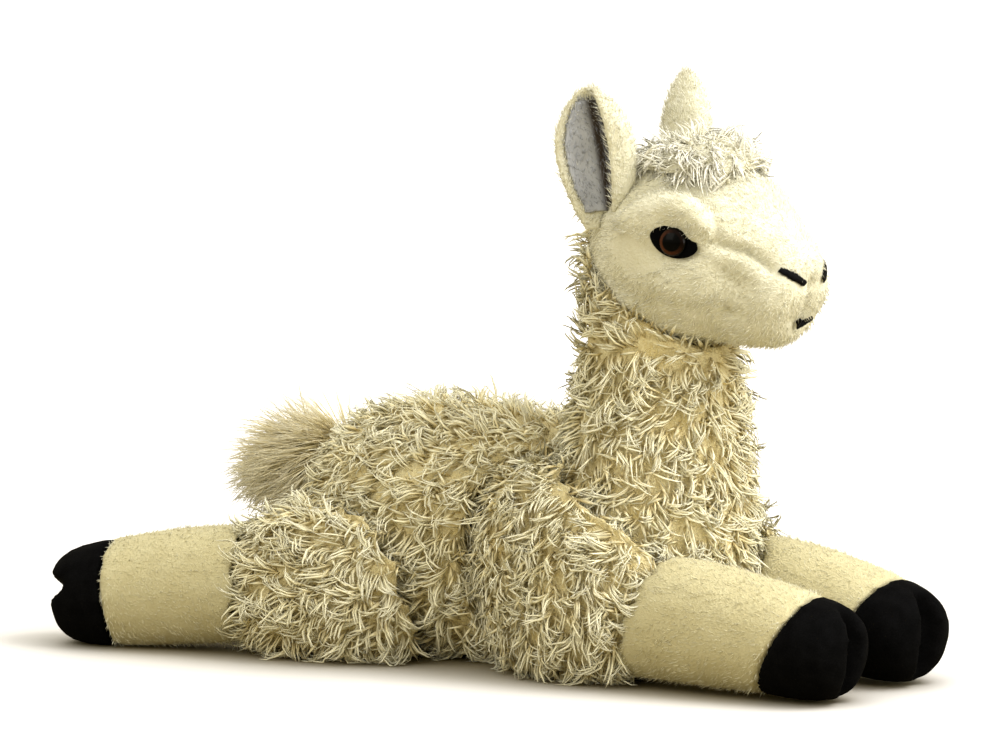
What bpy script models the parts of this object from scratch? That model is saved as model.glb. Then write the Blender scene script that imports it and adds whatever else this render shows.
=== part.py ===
"""A plush llama that lies on its belly, hind legs behind it and front legs ahead.

Each sewn section is a closed bag with its filling and is one solid. +X is the way the llama
looks, +Y is its left side, +Z is up, and the origin is under the middle of its overall box, on
the surface that it lies on. The curly cloth stands out in tufts, and the short cloth is smooth.
The model is built from the torso's rear end forwards, and then moved to that origin.
"""

import math

import bmesh
import bpy
from mathutils import Matrix, Vector, noise
from mathutils.bvhtree import BVHTree

MM = 0.001

# Cloth and seams
SEAM_GAP = 0.3 * MM
MERGE = 0.001 * MM
TUFT_HEIGHT = 3.2 * MM
TUFT_DROOP = 1.6 * MM  # how far a tuft's tip hangs below its root
BAG_ALLOWANCE = 1.8 * MM  # how far a coarse form's flat faces lie inside the round one
JOIN_ALLOWANCE = 1.05 * MM  # the same, where a leg or the tail is sewn on
PRESSED = 1.5 * MM  # how much of a bag the surface that it lies on has pressed flat

# Torso
TORSO_LENGTH = 122.0 * MM
TORSO_WIDTH = 78.0 * MM
TORSO_HEIGHT = 84.0 * MM

# Neck with the chest and the nape in one bag
CHEST_WIDTH = 70.0 * MM
CHEST_DEPTH = 66.0 * MM
CHEST_OVERLAP = 26.0 * MM  # how far the chest's back reaches into the torso
NECK_WIDTH = 51.0 * MM
NECK_RISE = 158.0 * MM
NAPE_SETBACK = 9.0 * MM

# Shoulders, which are the curly tops of the front legs
SHOULDER_LENGTH = 73.0 * MM
SHOULDER_WIDTH = 40.0 * MM
SHOULDER_HEIGHT = 78.0 * MM
SHOULDER_SETBACK = 49.0 * MM  # from the middle of the chest to the shoulder's rear end
SHOULDER_OVERLAP = 31.0 * MM
SHOULDER_SPLAY = 6.0 * MM

# Thighs, which are the curly tops of the hind legs
THIGH_LENGTH = 80.0 * MM
THIGH_WIDTH = 45.0 * MM
THIGH_HEIGHT = 58.0 * MM
KNEE_FORWARD = 68.0 * MM  # from the torso's rear end to the thigh's front end
THIGH_OVERLAP = 36.0 * MM
THIGH_SPLAY = 18.0 * MM

# Lower legs with their hooves
FRONT_LEG_LENGTH = 91.0 * MM
FRONT_LEG_WIDTH = 37.0 * MM
FRONT_LEG_HEIGHT = 42.0 * MM
FRONT_LEG_OVERLAP = 19.0 * MM
FRONT_LEG_TURN = 8.0 * MM
FRONT_HOOF_LENGTH = 26.0 * MM
FRONT_HOOF_LEAN = math.radians(29)
HIND_LEG_LENGTH = 88.0 * MM
HIND_LEG_WIDTH = 39.0 * MM
HIND_LEG_HEIGHT = 39.0 * MM
HIND_LEG_OVERLAP = 31.0 * MM
HIND_LEG_TURN = 25.0 * MM
HIND_HOOF_LENGTH = 22.0 * MM
HIND_HOOF_LEAN = math.radians(6)
CLEFT_DEPTH = 10.0 * MM  # the notch between a hoof's two toes
CLEFT_WIDTH = 9.0 * MM
FRONT_HOOF_ROLL = math.radians(0)
HIND_HOOF_ROLL = math.radians(-65)  # a hind foot lies on its side

# Tail
TAIL_LENGTH = 51.0 * MM
TAIL_WIDTH = 25.0 * MM
TAIL_HEIGHT = 26.0 * MM
TAIL_BELOW_BACK = 20.0 * MM
TAIL_DROP = 13.0 * MM
TAIL_OVERLAP = 12.0 * MM

# Head
HEAD_LENGTH = 78.0 * MM
HEAD_WIDTH = 59.0 * MM
HEAD_HEIGHT = 64.0 * MM
HEAD_SETBACK = 16.5 * MM  # from the middle of the chest to the back of the head
HEAD_DROP = 49.0 * MM  # from the nape's top down to the chin's level
TOPKNOT_LENGTH = 38.0 * MM
TOPKNOT_WIDTH = 40.0 * MM
TOPKNOT_HEIGHT = 18.0 * MM
TOPKNOT_FORWARD = 17.0 * MM
TOPKNOT_SINK = 12.5 * MM

# Ears
EAR_HEIGHT = 48.0 * MM
EAR_WIDTH = 27.0 * MM
EAR_DEPTH = 12.0 * MM
EAR_THICKNESS = 2.4 * MM
LINING_THICKNESS = 1.0 * MM
LINING_CLEARANCE = 0.6 * MM
LINING_INSET = 0.12  # share of the ear's bend that its edge stands past the lining
EAR_FORWARD = 14.0 * MM
EAR_SPACING = 47.0 * MM
EAR_LEVEL = 11.8 * MM  # the ears' seats over the middle of the head, where it is that wide
EAR_SINK = 4.0 * MM
EAR_LEAN = math.radians(7)
EAR_SWEEP = math.radians(4)
EAR_TURN = math.radians(28)  # how far the opening looks forward of the llama's side
EAR_REAR_BEND = math.radians(96)
EAR_FRONT_BEND = math.radians(156)

# Eyes
EYE_DIAMETER = 10.2 * MM
EYE_DOME = 3.6 * MM
EYE_FORWARD = 43.5 * MM
EYE_HEIGHT = 38.0 * MM
PATCH_LENGTH = 17.0 * MM
PATCH_WIDTH = 10.4 * MM
PATCH_THICKNESS = 1.6 * MM
PATCH_SLOPE = math.radians(14)
STEM_DIAMETER = 2.8 * MM
STEM_LENGTH = 9.0 * MM
WASHER_DIAMETER = 10.0 * MM
WASHER_THICKNESS = 1.2 * MM
WASHER_DEPTH = 4.0 * MM

# Nose and mouth stitching
NOSTRIL_THREAD = 1.25 * MM
NOSTRIL_LENGTH = 10.0 * MM
NOSTRIL_SPREAD = 8.6 * MM
NOSTRIL_HEIGHT = 27.0 * MM
NOSTRIL_SLOPE = math.radians(34)
MOUTH_WIDTH = 11.0 * MM
MOUTH_HEIGHT = 13.5 * MM
MOUTH_SAG = 3.5 * MM
MOUTH_THREAD = 0.8 * MM

# Places that follow from the sizes
CHEST_FOOT = Vector((TORSO_LENGTH + CHEST_DEPTH / 2 - CHEST_OVERLAP, 0, -PRESSED))
SHOULDER_SIDE = (CHEST_WIDTH + SHOULDER_WIDTH) / 2 - SHOULDER_OVERLAP
SHOULDER_REAR = Vector((CHEST_FOOT.x - SHOULDER_SETBACK, -SHOULDER_SIDE, -PRESSED))
SHOULDER_REACH = Vector((SHOULDER_LENGTH, -SHOULDER_SPLAY, 0))
THIGH_SIDE = (TORSO_WIDTH + THIGH_WIDTH) / 2 - THIGH_OVERLAP
KNEE = Vector((KNEE_FORWARD, -THIGH_SIDE, -PRESSED))
THIGH_REACH = Vector((-THIGH_LENGTH, -THIGH_SPLAY, 0))
TAIL_ROOT = Vector((TAIL_OVERLAP, 0, TORSO_HEIGHT - TAIL_BELOW_BACK))
HEAD_BACK = Vector((CHEST_FOOT.x - HEAD_SETBACK, 0, NECK_RISE - HEAD_DROP))
WHOLE_LENGTH = HIND_LEG_LENGTH + TORSO_LENGTH + CHEST_DEPTH + FRONT_LEG_LENGTH

# Colours, as linear red, green and blue
CURLY_CREAM = (0.74, 0.68, 0.50)
SHORT_CREAM = (0.80, 0.75, 0.60)
TAIL_CREAM = (0.66, 0.60, 0.45)
HOOF_BLACK = (0.012, 0.012, 0.016)
LINING_GREY = (0.24, 0.24, 0.25)
EYE_BROWN = (0.05, 0.014, 0.008)
THREAD_BLACK = (0.010, 0.010, 0.010)
WASHER_WHITE = (0.75, 0.75, 0.72)


def clear_scene():
    for obj in list(bpy.data.objects):
        bpy.data.objects.remove(obj, do_unlink=True)


def new_collection(name, hidden=False):
    collection = bpy.data.collections.new(name)
    bpy.context.scene.collection.children.link(collection)
    collection.hide_render = hidden
    return collection


def material(name, colour, roughness):
    """A plain surface: the pieces are cloth, thread or plastic, and none is metal."""
    made = bpy.data.materials.new(name)
    made.use_nodes = True
    shader = made.node_tree.nodes["Principled BSDF"]
    shader.inputs["Base Color"].default_value = (*colour, 1.0)
    shader.inputs["Roughness"].default_value = roughness
    shader.inputs["Metallic"].default_value = 0.0
    return made


def add_object(name, mesh, collection, finish=None):
    obj = bpy.data.objects.new(name, mesh)
    collection.objects.link(obj)
    if finish is not None:
        mesh.materials.append(finish)
    return obj


def hide(obj):
    obj.hide_render = True
    obj.display_type = "WIRE"


def mesh_of(body, name):
    """A mesh from edited geometry, with its faces turned outwards."""
    bmesh.ops.recalc_face_normals(body, faces=body.faces)
    mesh = bpy.data.meshes.new(name)
    body.to_mesh(mesh)
    body.free()
    return mesh


def finished_mesh(obj):
    """The object's mesh as its modifiers leave it."""
    bpy.context.view_layer.update()
    graph = bpy.context.evaluated_depsgraph_get()
    return bpy.data.meshes.new_from_object(obj.evaluated_get(graph))


def settle(obj):
    """Gives the object the mesh that its modifiers make, and clears them."""
    mesh = finished_mesh(obj)
    obj.modifiers.clear()
    obj.data = mesh
    for face in mesh.polygons:
        face.use_smooth = True
    mesh.set_sharp_from_angle(angle=math.radians(40))
    return obj


def curve_to_mesh(name, curve, collection, finish):
    """A mesh piece in place of a curve, whose loose caps are welded to its sides."""
    guide = bpy.data.objects.new(name, curve)
    collection.objects.link(guide)
    mesh = finished_mesh(guide)
    bpy.data.objects.remove(guide)
    body = bmesh.new()
    body.from_mesh(mesh)
    bmesh.ops.remove_doubles(body, verts=body.verts, dist=MERGE)
    return add_object(name, mesh_of(body, name), collection, finish)


def ring_points(centre, along, half_width, half_height, sides):
    """An ellipse across the way along, a little large because smoothing draws it in."""
    side = (Vector((0, 1, 0)) - along * along.y).normalized()
    up = along.cross(side)
    reach = 3 / (2 + math.cos(2 * math.pi / sides))
    points = []
    for i in range(sides):
        angle = 2 * math.pi * i / sides
        offset = side * half_width * math.cos(angle) + up * half_height * math.sin(angle)
        points.append(centre + offset * reach)
    return points


def soft_form(name, rings, collection, finish, sides, levels):
    """A stuffed bag: rings of (centre, half-width, half-height), skinned and smoothed."""
    body = bmesh.new()
    loops = []
    for i, (centre, half_width, half_height) in enumerate(rings):
        before = rings[max(i - 1, 0)][0]
        after = rings[min(i + 1, len(rings) - 1)][0]
        along = (after - before).normalized()
        points = ring_points(centre, along, half_width, half_height, sides)
        loops.append([body.verts.new(point) for point in points])
    for loop, following in zip(loops, loops[1:]):
        for i in range(sides):
            j = (i + 1) % sides
            body.faces.new((loop[i], loop[j], following[j], following[i]))
    body.faces.new(loops[0])
    body.faces.new(loops[-1])
    obj = add_object(name, mesh_of(body, name), collection, finish)
    smoothing = obj.modifiers.new("smoothing", "SUBSURF")
    smoothing.levels = levels
    smoothing.render_levels = levels
    return settle(obj)


def surround(name, rings, by, cutters, sides):
    """A coarse form that stands out from a bag all round, to cut the bag's neighbours back."""
    form = soft_form("around_" + name, rings, cutters, None, sides, levels=1)
    swell = form.modifiers.new("swell", "DISPLACE")
    swell.direction = "NORMAL"
    swell.mid_level = 0.0
    swell.strength = by
    settle(form)
    hide(form)
    return form


def scaled_rings(start, reach, width, height, shares):
    """Rings at shares of the way from start along reach: (share, centre height, width, height)."""
    rings = []
    for along, middle, wide, high in shares:
        centre = start + reach * along + Vector((0, 0, middle * height))
        rings.append((centre, wide * width / 2, high * height / 2))
    return rings


def mirrored(obj, name, collection):
    """The same piece on the other side of the llama's middle plane."""
    copy = bpy.data.objects.new(name, obj.data)
    collection.objects.link(copy)
    copy.matrix_world = Matrix.Diagonal((1, -1, 1, 1)) @ obj.matrix_world
    copy.hide_render = obj.hide_render
    copy.display_type = obj.display_type
    return copy


def drop_scraps(mesh):
    """Keeps a mesh's largest connected surface: a cut can leave the tips of a few tufts loose."""
    body = bmesh.new()
    body.from_mesh(mesh)
    shells = []
    unseen = set(body.faces)
    while unseen:
        shell = [unseen.pop()]
        for face in shell:
            for edge in face.edges:
                for other in unseen.intersection(edge.link_faces):
                    unseen.discard(other)
                    shell.append(other)
        shells.append(shell)
    shells.sort(key=len)
    for shell in shells[:-1]:
        bmesh.ops.delete(body, geom=shell, context="FACES")
    body.to_mesh(mesh)
    body.free()


def cut(obj, *cutters):
    """Takes each cutter's shape out of the object."""
    for cutter in cutters:
        away = obj.modifiers.new("cut_" + cutter.name, "BOOLEAN")
        away.operation = "DIFFERENCE"
        away.solver = "EXACT"
        away.object = cutter
    settle(obj)
    drop_scraps(obj.data)


def alternate(body):
    """Every second crossing of a grid of four-sided faces: no edge joins two of them."""
    chosen = {body.verts[0]: True}
    waiting = [body.verts[0]]
    while waiting:
        vertex = waiting.pop()
        for edge in vertex.link_edges:
            other = edge.other_vert(vertex)
            if other not in chosen:
                chosen[other] = not chosen[vertex]
                waiting.append(other)
    return chosen


def curl(obj):
    """Raises every second crossing of the curly cloth into the drooping tip of a tuft."""
    body = bmesh.new()
    body.from_mesh(obj.data)
    body.verts.ensure_lookup_table()
    tips = alternate(body)
    for face in list(body.faces):
        low = [vertex for vertex in face.verts if not tips[vertex]]
        bmesh.utils.face_split(face, low[0], low[1])
    body.normal_update()
    moves = []
    for vertex in body.verts:
        place = Vector((vertex.co.x, abs(vertex.co.y), vertex.co.z)) / TUFT_HEIGHT
        uneven = 0.5 + 0.5 * noise.noise(place)
        if tips[vertex]:
            share = 0.75 + 0.25 * uneven
            droop = Vector((0, 0, -TUFT_DROOP))
        else:
            share = 0.3 * uneven
            droop = Vector((0, 0, 0))
        level = droop - vertex.normal * droop.dot(vertex.normal)
        moves.append(vertex.normal * TUFT_HEIGHT * share + level)
    for vertex, move in zip(body.verts, moves):
        vertex.co += move
    body.to_mesh(obj.data)
    body.free()
    return obj


def block(name, low, high, cutters):
    """A box between two corners, for cutting away one side of a plane."""
    bpy.ops.mesh.primitive_cube_add(size=1)
    box = bpy.context.active_object
    box.name = name
    for collection in list(box.users_collection):
        collection.objects.unlink(box)
    cutters.objects.link(box)
    low = Vector(low)
    high = Vector(high)
    box.data.transform(Matrix.Translation((low + high) / 2) @ Matrix.Diagonal((*(high - low), 1)))
    hide(box)
    return box


def torso_rings():
    shares = (
        (0.00, 0.54, 0.52, 0.54),
        (0.20, 0.51, 1.00, 0.98),
        (0.50, 0.50, 1.06, 1.03),
        (0.82, 0.48, 0.90, 0.94),
        (1.00, 0.47, 0.50, 0.56),
    )
    reach = Vector((TORSO_LENGTH, 0, 0))
    return scaled_rings(Vector((0, 0, -PRESSED)), reach, TORSO_WIDTH, TORSO_HEIGHT, shares)


def neck_rings():
    """The chest from its foot upwards, the neck, and the nape that leans back behind the head."""
    chest = (
        (0.00, 0.00, 0.66, 0.66),
        (0.16, -0.01, 1.08, 1.08),
        (0.38, 0.00, 0.98, 1.00),
    )
    neck = (
        (0.58, 0.06, 1.02, 1.02),
        (0.75, 0.05, 0.98, 0.96),
    )
    nape = (
        (0.90, -0.45, 0.84, 0.66),
        (1.00, -1.00, 0.44, 0.30),
    )
    rings = []
    for rise, forward, wide, deep in chest:
        centre = CHEST_FOOT + Vector((forward * CHEST_DEPTH, 0, rise * NECK_RISE))
        rings.append((centre, wide * CHEST_WIDTH / 2, deep * CHEST_DEPTH / 2))
    for rise, forward, wide, deep in neck:
        centre = CHEST_FOOT + Vector((forward * CHEST_DEPTH, 0, rise * NECK_RISE))
        rings.append((centre, wide * NECK_WIDTH / 2, deep * NECK_WIDTH / 2))
    for rise, forward, wide, deep in nape:
        centre = CHEST_FOOT + Vector((forward * NAPE_SETBACK, 0, rise * NECK_RISE))
        rings.append((centre, wide * NECK_WIDTH / 2, deep * NECK_WIDTH / 2))
    return rings


def shoulder_rings():
    shares = (
        (0.00, 0.45, 0.52, 0.56),
        (0.30, 0.51, 1.10, 1.08),
        (0.74, 0.39, 1.06, 0.82),
        (1.00, 0.28, 0.66, 0.46),
    )
    return scaled_rings(SHOULDER_REAR, SHOULDER_REACH, SHOULDER_WIDTH, SHOULDER_HEIGHT, shares)


def thigh_rings():
    shares = (
        (0.00, 0.45, 0.54, 0.60),
        (0.30, 0.51, 1.08, 1.10),
        (0.72, 0.43, 1.08, 0.88),
        (1.00, 0.32, 0.64, 0.52),
    )
    return scaled_rings(KNEE, THIGH_REACH, THIGH_WIDTH, THIGH_HEIGHT, shares)


def front_leg_rings():
    shares = (
        (0.00, 0.60, 0.80, 1.00),
        (0.24, 0.60, 0.94, 1.00),
        (0.46, 0.56, 1.02, 0.98),
        (0.66, 0.51, 0.97, 0.88),
        (0.82, 0.45, 0.98, 0.84),
        (0.94, 0.42, 0.86, 0.74),
        (1.00, 0.40, 0.56, 0.50),
    )
    start = SHOULDER_REAR + SHOULDER_REACH - Vector((FRONT_LEG_OVERLAP, 0, 0))
    reach = Vector((FRONT_LEG_LENGTH, FRONT_LEG_TURN, 0))
    return scaled_rings(start, reach, FRONT_LEG_WIDTH, FRONT_LEG_HEIGHT, shares)


def hind_leg_rings():
    shares = (
        (0.00, 0.66, 0.90, 0.92),
        (0.24, 0.65, 0.99, 1.00),
        (0.46, 0.58, 1.00, 1.02),
        (0.66, 0.51, 0.94, 0.96),
        (0.82, 0.46, 0.97, 0.92),
        (0.94, 0.43, 0.84, 0.80),
        (1.00, 0.41, 0.56, 0.54),
    )
    start = KNEE + THIGH_REACH * (1 - HIND_LEG_OVERLAP / THIGH_LENGTH)
    reach = Vector((-HIND_LEG_LENGTH, -HIND_LEG_TURN, 0))
    return scaled_rings(start, reach, HIND_LEG_WIDTH, HIND_LEG_HEIGHT, shares)


def toe_cleft(name, tip, level, roll, cutters):
    """A wedge at the end of a hoof, whose edge points up the leg, rolled with the foot."""
    body = bmesh.new()
    bmesh.ops.create_cone(body, cap_ends=True, segments=3, radius1=1, radius2=1, depth=1)
    corner_back = Matrix.Rotation(math.radians(90), 4, "Z")
    size = Matrix.Diagonal((CLEFT_DEPTH, CLEFT_WIDTH, 2 * WHOLE_LENGTH, 1))
    rolled = Matrix.Rotation(roll, 4, "X")
    bmesh.ops.transform(body, matrix=rolled @ size @ corner_back, verts=body.verts)
    wedge = add_object("cleft_" + name, mesh_of(body, name), cutters)
    wedge.data.transform(Matrix.Translation(tip) @ level.to_track_quat("X", "Z").to_matrix().to_4x4())
    hide(wedge)
    return wedge


def split_leg(name, rings, hoof_length, lean, roll, collection, cutters, cloth, hoof_cloth):
    """One smooth leg, cut across at the hoof's seam, which leans so that its top is further out."""
    leg = soft_form(name + "_lower_leg_right", rings, collection, cloth, sides=8, levels=1)
    hoof = add_object(name + "_hoof_right", leg.data.copy(), collection)
    hoof.data.materials.clear()
    hoof.data.materials.append(hoof_cloth)
    start = rings[0][0]
    end = rings[-1][0]
    level = Vector((end.x - start.x, end.y - start.y, 0)).normalized()
    turn = level.to_track_quat("X", "Z").to_matrix().to_4x4() @ Matrix.Rotation(lean, 4, "Y")
    place = Matrix.Translation(end - level * hoof_length) @ turn
    far = 2 * WHOLE_LENGTH
    beyond = block("beyond_seam_" + name, (-SEAM_GAP / 2, -far, -far), (far, far, far), cutters)
    before = block("before_seam_" + name, (-far, -far, -far), (SEAM_GAP / 2, far, far), cutters)
    beyond.data.transform(place)
    before.data.transform(place)
    cut(leg, beyond)
    cut(hoof, before, toe_cleft(name, end, level, roll, cutters))
    return leg, hoof


def tail_rings():
    shares = (
        (0.00, 0.00, 0.62, 0.60),
        (0.32, 0.00, 0.92, 0.88),
        (0.66, 0.00, 1.14, 1.14),
        (0.90, 0.00, 0.92, 0.92),
        (1.00, 0.00, 0.50, 0.50),
    )
    reach = Vector((-TAIL_LENGTH, 0, -TAIL_DROP))
    return scaled_rings(TAIL_ROOT, reach, TAIL_WIDTH, TAIL_HEIGHT, shares)


def head_rings():
    """From the back of the head to the muzzle, which narrows and drops to a blunt nose."""
    shares = (
        (0.00, 0.54, 0.40, 0.44),
        (0.09, 0.54, 0.74, 0.76),
        (0.24, 0.53, 0.95, 0.95),
        (0.44, 0.52, 1.00, 1.00),
        (0.62, 0.47, 0.90, 0.92),
        (0.76, 0.38, 0.69, 0.75),
        (0.90, 0.30, 0.57, 0.59),
        (1.00, 0.26, 0.46, 0.46),
    )
    return scaled_rings(HEAD_BACK, Vector((HEAD_LENGTH, 0, 0)), HEAD_WIDTH, HEAD_HEIGHT, shares)


def surface_spot(obj, start, way):
    """Where a ray from inside the object leaves it, and the outward direction there."""
    body = bmesh.new()
    body.from_mesh(obj.data)
    spot, outward, *_ = BVHTree.FromBMesh(body).ray_cast(start, way)
    body.free()
    return spot, outward


def topknot_rings(head):
    """A flattened ball of curls on the crown."""
    shares = (
        (0.00, -0.16, 0.50, 0.44),
        (0.16, -0.06, 0.86, 0.80),
        (0.46, 0.00, 1.04, 1.04),
        (0.80, -0.06, 0.90, 0.86),
        (1.00, -0.16, 0.52, 0.46),
    )
    middle = HEAD_BACK + Vector((TOPKNOT_FORWARD + TOPKNOT_LENGTH / 2, 0, HEAD_HEIGHT / 2))
    crown, _ = surface_spot(head, middle, Vector((0, 0, 1)))
    start = Vector((HEAD_BACK.x + TOPKNOT_FORWARD, 0, crown.z + TOPKNOT_HEIGHT / 2 - TOPKNOT_SINK))
    reach = Vector((TOPKNOT_LENGTH, 0, 0))
    return scaled_rings(start, reach, TOPKNOT_WIDTH, TOPKNOT_HEIGHT, shares)


def ear_point(across, up, inward):
    """A point of the ear: across is -1 to 1 from rear edge to front edge, up is 0 to 1.

    The ear is an oval cup round local Z that opens along local +Y, and its front edge folds
    over the opening. Its size swells above the middle and closes to a round tip.
    """
    swell = 0.5 + 0.5 * math.sin(math.radians(165) * up)
    tip = math.sqrt(max(1 - max((up - 0.62) / 0.39, 0.0) ** 2, 0.0))
    half_width = (EAR_WIDTH / 2 * swell - inward) * tip
    half_depth = (EAR_DEPTH / 2 * swell - inward) * tip
    angle = across * (EAR_FRONT_BEND if across > 0 else EAR_REAR_BEND)
    return Vector((-half_width * math.sin(angle), -half_depth * math.cos(angle), up * EAR_HEIGHT))


def cupped_sheet(name, spread, low, high, inner, outer, columns, rows, collection, cloth):
    """A closed sheet on the ear's cup, between two distances in from its outer face."""
    body = bmesh.new()
    layers = []
    for inward in (inner, outer):
        grid = []
        for row in range(rows + 1):
            up = low + (high - low) * row / rows
            line = []
            for column in range(columns + 1):
                across = spread * (2 * column / columns - 1)
                line.append(body.verts.new(ear_point(across, up, inward)))
            grid.append(line)
        layers.append(grid)
    for grid in layers:
        for row in range(rows):
            for column in range(columns):
                corners = (grid[row][column], grid[row][column + 1])
                above = (grid[row + 1][column + 1], grid[row + 1][column])
                body.faces.new(corners + above)
    inside, outside = layers
    edge = [(row, 0) for row in range(rows)]
    edge += [(rows, column) for column in range(columns)]
    edge += [(row, columns) for row in range(rows, 0, -1)]
    edge += [(0, column) for column in range(columns, 0, -1)]
    for (row, column), (next_row, next_column) in zip(edge, edge[1:] + edge[:1]):
        near = (inside[row][column], inside[next_row][next_column])
        far = (outside[next_row][next_column], outside[row][column])
        body.faces.new(near + far)
    return add_object(name, mesh_of(body, name), collection, cloth)


def ear_forms(head, collection, cloth, lining_cloth):
    """The right ear and its lining, which opens to the llama's right."""
    start = HEAD_BACK + Vector((EAR_FORWARD, 0, HEAD_HEIGHT / 2))
    seat, _ = surface_spot(head, start, Vector((0, -EAR_SPACING / 2, EAR_LEVEL)))
    place = Matrix.Translation(seat - Vector((0, 0, EAR_SINK)))
    place = place @ Matrix.Rotation(EAR_LEAN, 4, "X") @ Matrix.Rotation(-EAR_SWEEP, 4, "Y")
    place = place @ Matrix.Rotation(math.pi + EAR_TURN, 4, "Z")
    cup = (1.0, 0.0, 0.985, 0.0, EAR_THICKNESS, 10, 8)
    ear = cupped_sheet("ear_right", *cup, collection, cloth)
    inner = EAR_THICKNESS + LINING_CLEARANCE
    sheet = (1 - LINING_INSET, 0.12, 0.9, inner, inner + LINING_THICKNESS, 8, 5)
    lining = cupped_sheet("ear_lining_right", *sheet, collection, lining_cloth)
    for obj in (ear, lining):
        obj.matrix_world = place
    bpy.context.view_layer.update()
    return ear, lining


def turned(name, profile, steps, collection, finish=None):
    """A solid of revolution about local Z, from a profile that runs down its outer side."""
    body = bmesh.new()
    points = [body.verts.new((radius, 0, height)) for radius, height in profile]
    for first, second in zip(points, points[1:]):
        body.edges.new((first, second))
    if profile[0][0] > 0:
        body.edges.new((points[-1], points[0]))
    mesh = bpy.data.meshes.new(name)
    body.to_mesh(mesh)
    body.free()
    obj = add_object(name, mesh, collection, finish)
    spin = obj.modifiers.new("spin", "SCREW")
    spin.steps = steps
    spin.render_steps = steps
    spin.use_merge_vertices = True
    spin.merge_threshold = MERGE
    return settle(obj)


def almond(name, length, width, thickness, collection, finish=None):
    """A pointed oval plate, whose two edges are arcs, centred on its own origin."""
    half = length / 2
    rise = width / 2
    radius = (half * half + rise * rise) / (2 * rise)
    sweep = math.asin(half / radius)
    steps = 6
    curve = bpy.data.curves.new(name, "CURVE")
    curve.dimensions = "2D"
    curve.fill_mode = "BOTH"
    curve.extrude = thickness / 2
    line = curve.splines.new("POLY")
    line.points.add(2 * steps - 1)
    line.use_cyclic_u = True
    for i in range(2 * steps):
        side = 1 if i < steps else -1
        angle = sweep * (2 * (i % steps) / steps - 1)
        x = side * radius * math.sin(angle)
        y = side * (radius * math.cos(angle) - radius + rise)
        line.points[i].co = (x, y, 0, 1)
    return curve_to_mesh(name, curve, collection, finish)


def eye_place(head):
    """Local +Z looks out of the head's right side at the eye, and local X runs along the eye."""
    start = HEAD_BACK + Vector((EYE_FORWARD, 0, EYE_HEIGHT))
    spot, outward = surface_spot(head, start, Vector((0, -1, 0)))
    ahead = (Vector((1, 0, 0)) - outward * outward.x).normalized()
    up = outward.cross(ahead)
    turn = Matrix((ahead, up, outward)).transposed().to_4x4()
    return Matrix.Translation(spot) @ turn @ Matrix.Rotation(-PATCH_SLOPE, 4, "Z")


def eye_forms(head, collection, cutters, plastic, felt, nylon):
    """Dark patch, domed eye on its stem and the washer that locks the stem inside the head."""
    face = PATCH_THICKNESS / 2
    stem = STEM_DIAMETER / 2
    bore = stem + SEAM_GAP
    rim = WASHER_DIAMETER / 2
    base = face + SEAM_GAP
    top = -face - WASHER_DEPTH
    foot = top - WASHER_THICKNESS
    end = min(base - STEM_LENGTH, foot)
    dome = [(0.0, base + EYE_DOME)]
    for i in range(1, 6):
        angle = math.radians(90 - 18 * i)
        dome.append((EYE_DIAMETER / 2 * math.cos(angle), base + EYE_DOME * math.sin(angle)))
    dome += [(stem, base), (stem, end), (0.0, end)]
    ring = [(rim, top), (rim, foot), (bore, foot), (bore, top)]
    hole = [
        (0.0, base + EYE_DOME),
        (bore, base + EYE_DOME),
        (bore, top + SEAM_GAP),
        (rim + SEAM_GAP, top + SEAM_GAP),
        (rim + SEAM_GAP, foot - SEAM_GAP),
        (bore, foot - SEAM_GAP),
        (bore, end - SEAM_GAP),
        (0.0, end - SEAM_GAP),
    ]
    patch = almond("eye_patch_right", PATCH_LENGTH, PATCH_WIDTH, PATCH_THICKNESS, collection, felt)
    eye = turned("eye_right", dome, 12, collection, plastic)
    washer = turned("eye_washer_right", ring, 8, collection, nylon)
    pocket = turned("eye_pocket_right", hole, 8, cutters)
    seat_length = PATCH_LENGTH + 4 * SEAM_GAP
    seat_width = PATCH_WIDTH + 2 * SEAM_GAP
    seat_depth = PATCH_THICKNESS + 2 * SEAM_GAP
    seat = almond("eye_seat_right", seat_length, seat_width, seat_depth, cutters)
    place = eye_place(head)
    for obj in (patch, eye, washer, pocket, seat):
        obj.matrix_world = place
    for cutter in (pocket, seat):
        hide(cutter)
    bpy.context.view_layer.update()
    cut(patch, pocket)
    return [patch, eye, washer], [pocket, seat]


def stitched_line(name, points, radius, collection, finish=None):
    """Thread laid along points on the cloth: a round cord with closed ends."""
    curve = bpy.data.curves.new(name, "CURVE")
    curve.dimensions = "3D"
    curve.bevel_depth = radius
    curve.bevel_resolution = 1
    curve.use_fill_caps = True
    line = curve.splines.new("POLY")
    line.points.add(len(points) - 1)
    for place, point in zip(line.points, points):
        place.co = (*point, 1)
    return curve_to_mesh(name, curve, collection, finish)


def on_muzzle(head, across, height):
    """The point of the muzzle's face at a distance across it and a height over the chin."""
    start = HEAD_BACK + Vector((HEAD_LENGTH / 2, across, height))
    spot, _ = surface_spot(head, start, Vector((1, 0, 0)))
    return spot


def lengthened(points):
    """The same line, with each end taken on by the seam's gap."""
    first = points[0] + (points[0] - points[1]).normalized() * SEAM_GAP
    last = points[-1] + (points[-1] - points[-2]).normalized() * SEAM_GAP
    return [first, *points[1:-1], last]


def stitching(name, points, radius, collection, cutters, thread):
    """A line of thread and the groove that it lies in."""
    line = stitched_line(name, points, radius, collection, thread)
    groove = stitched_line("groove_" + name, lengthened(points), radius + SEAM_GAP, cutters)
    hide(groove)
    return line, groove


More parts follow.
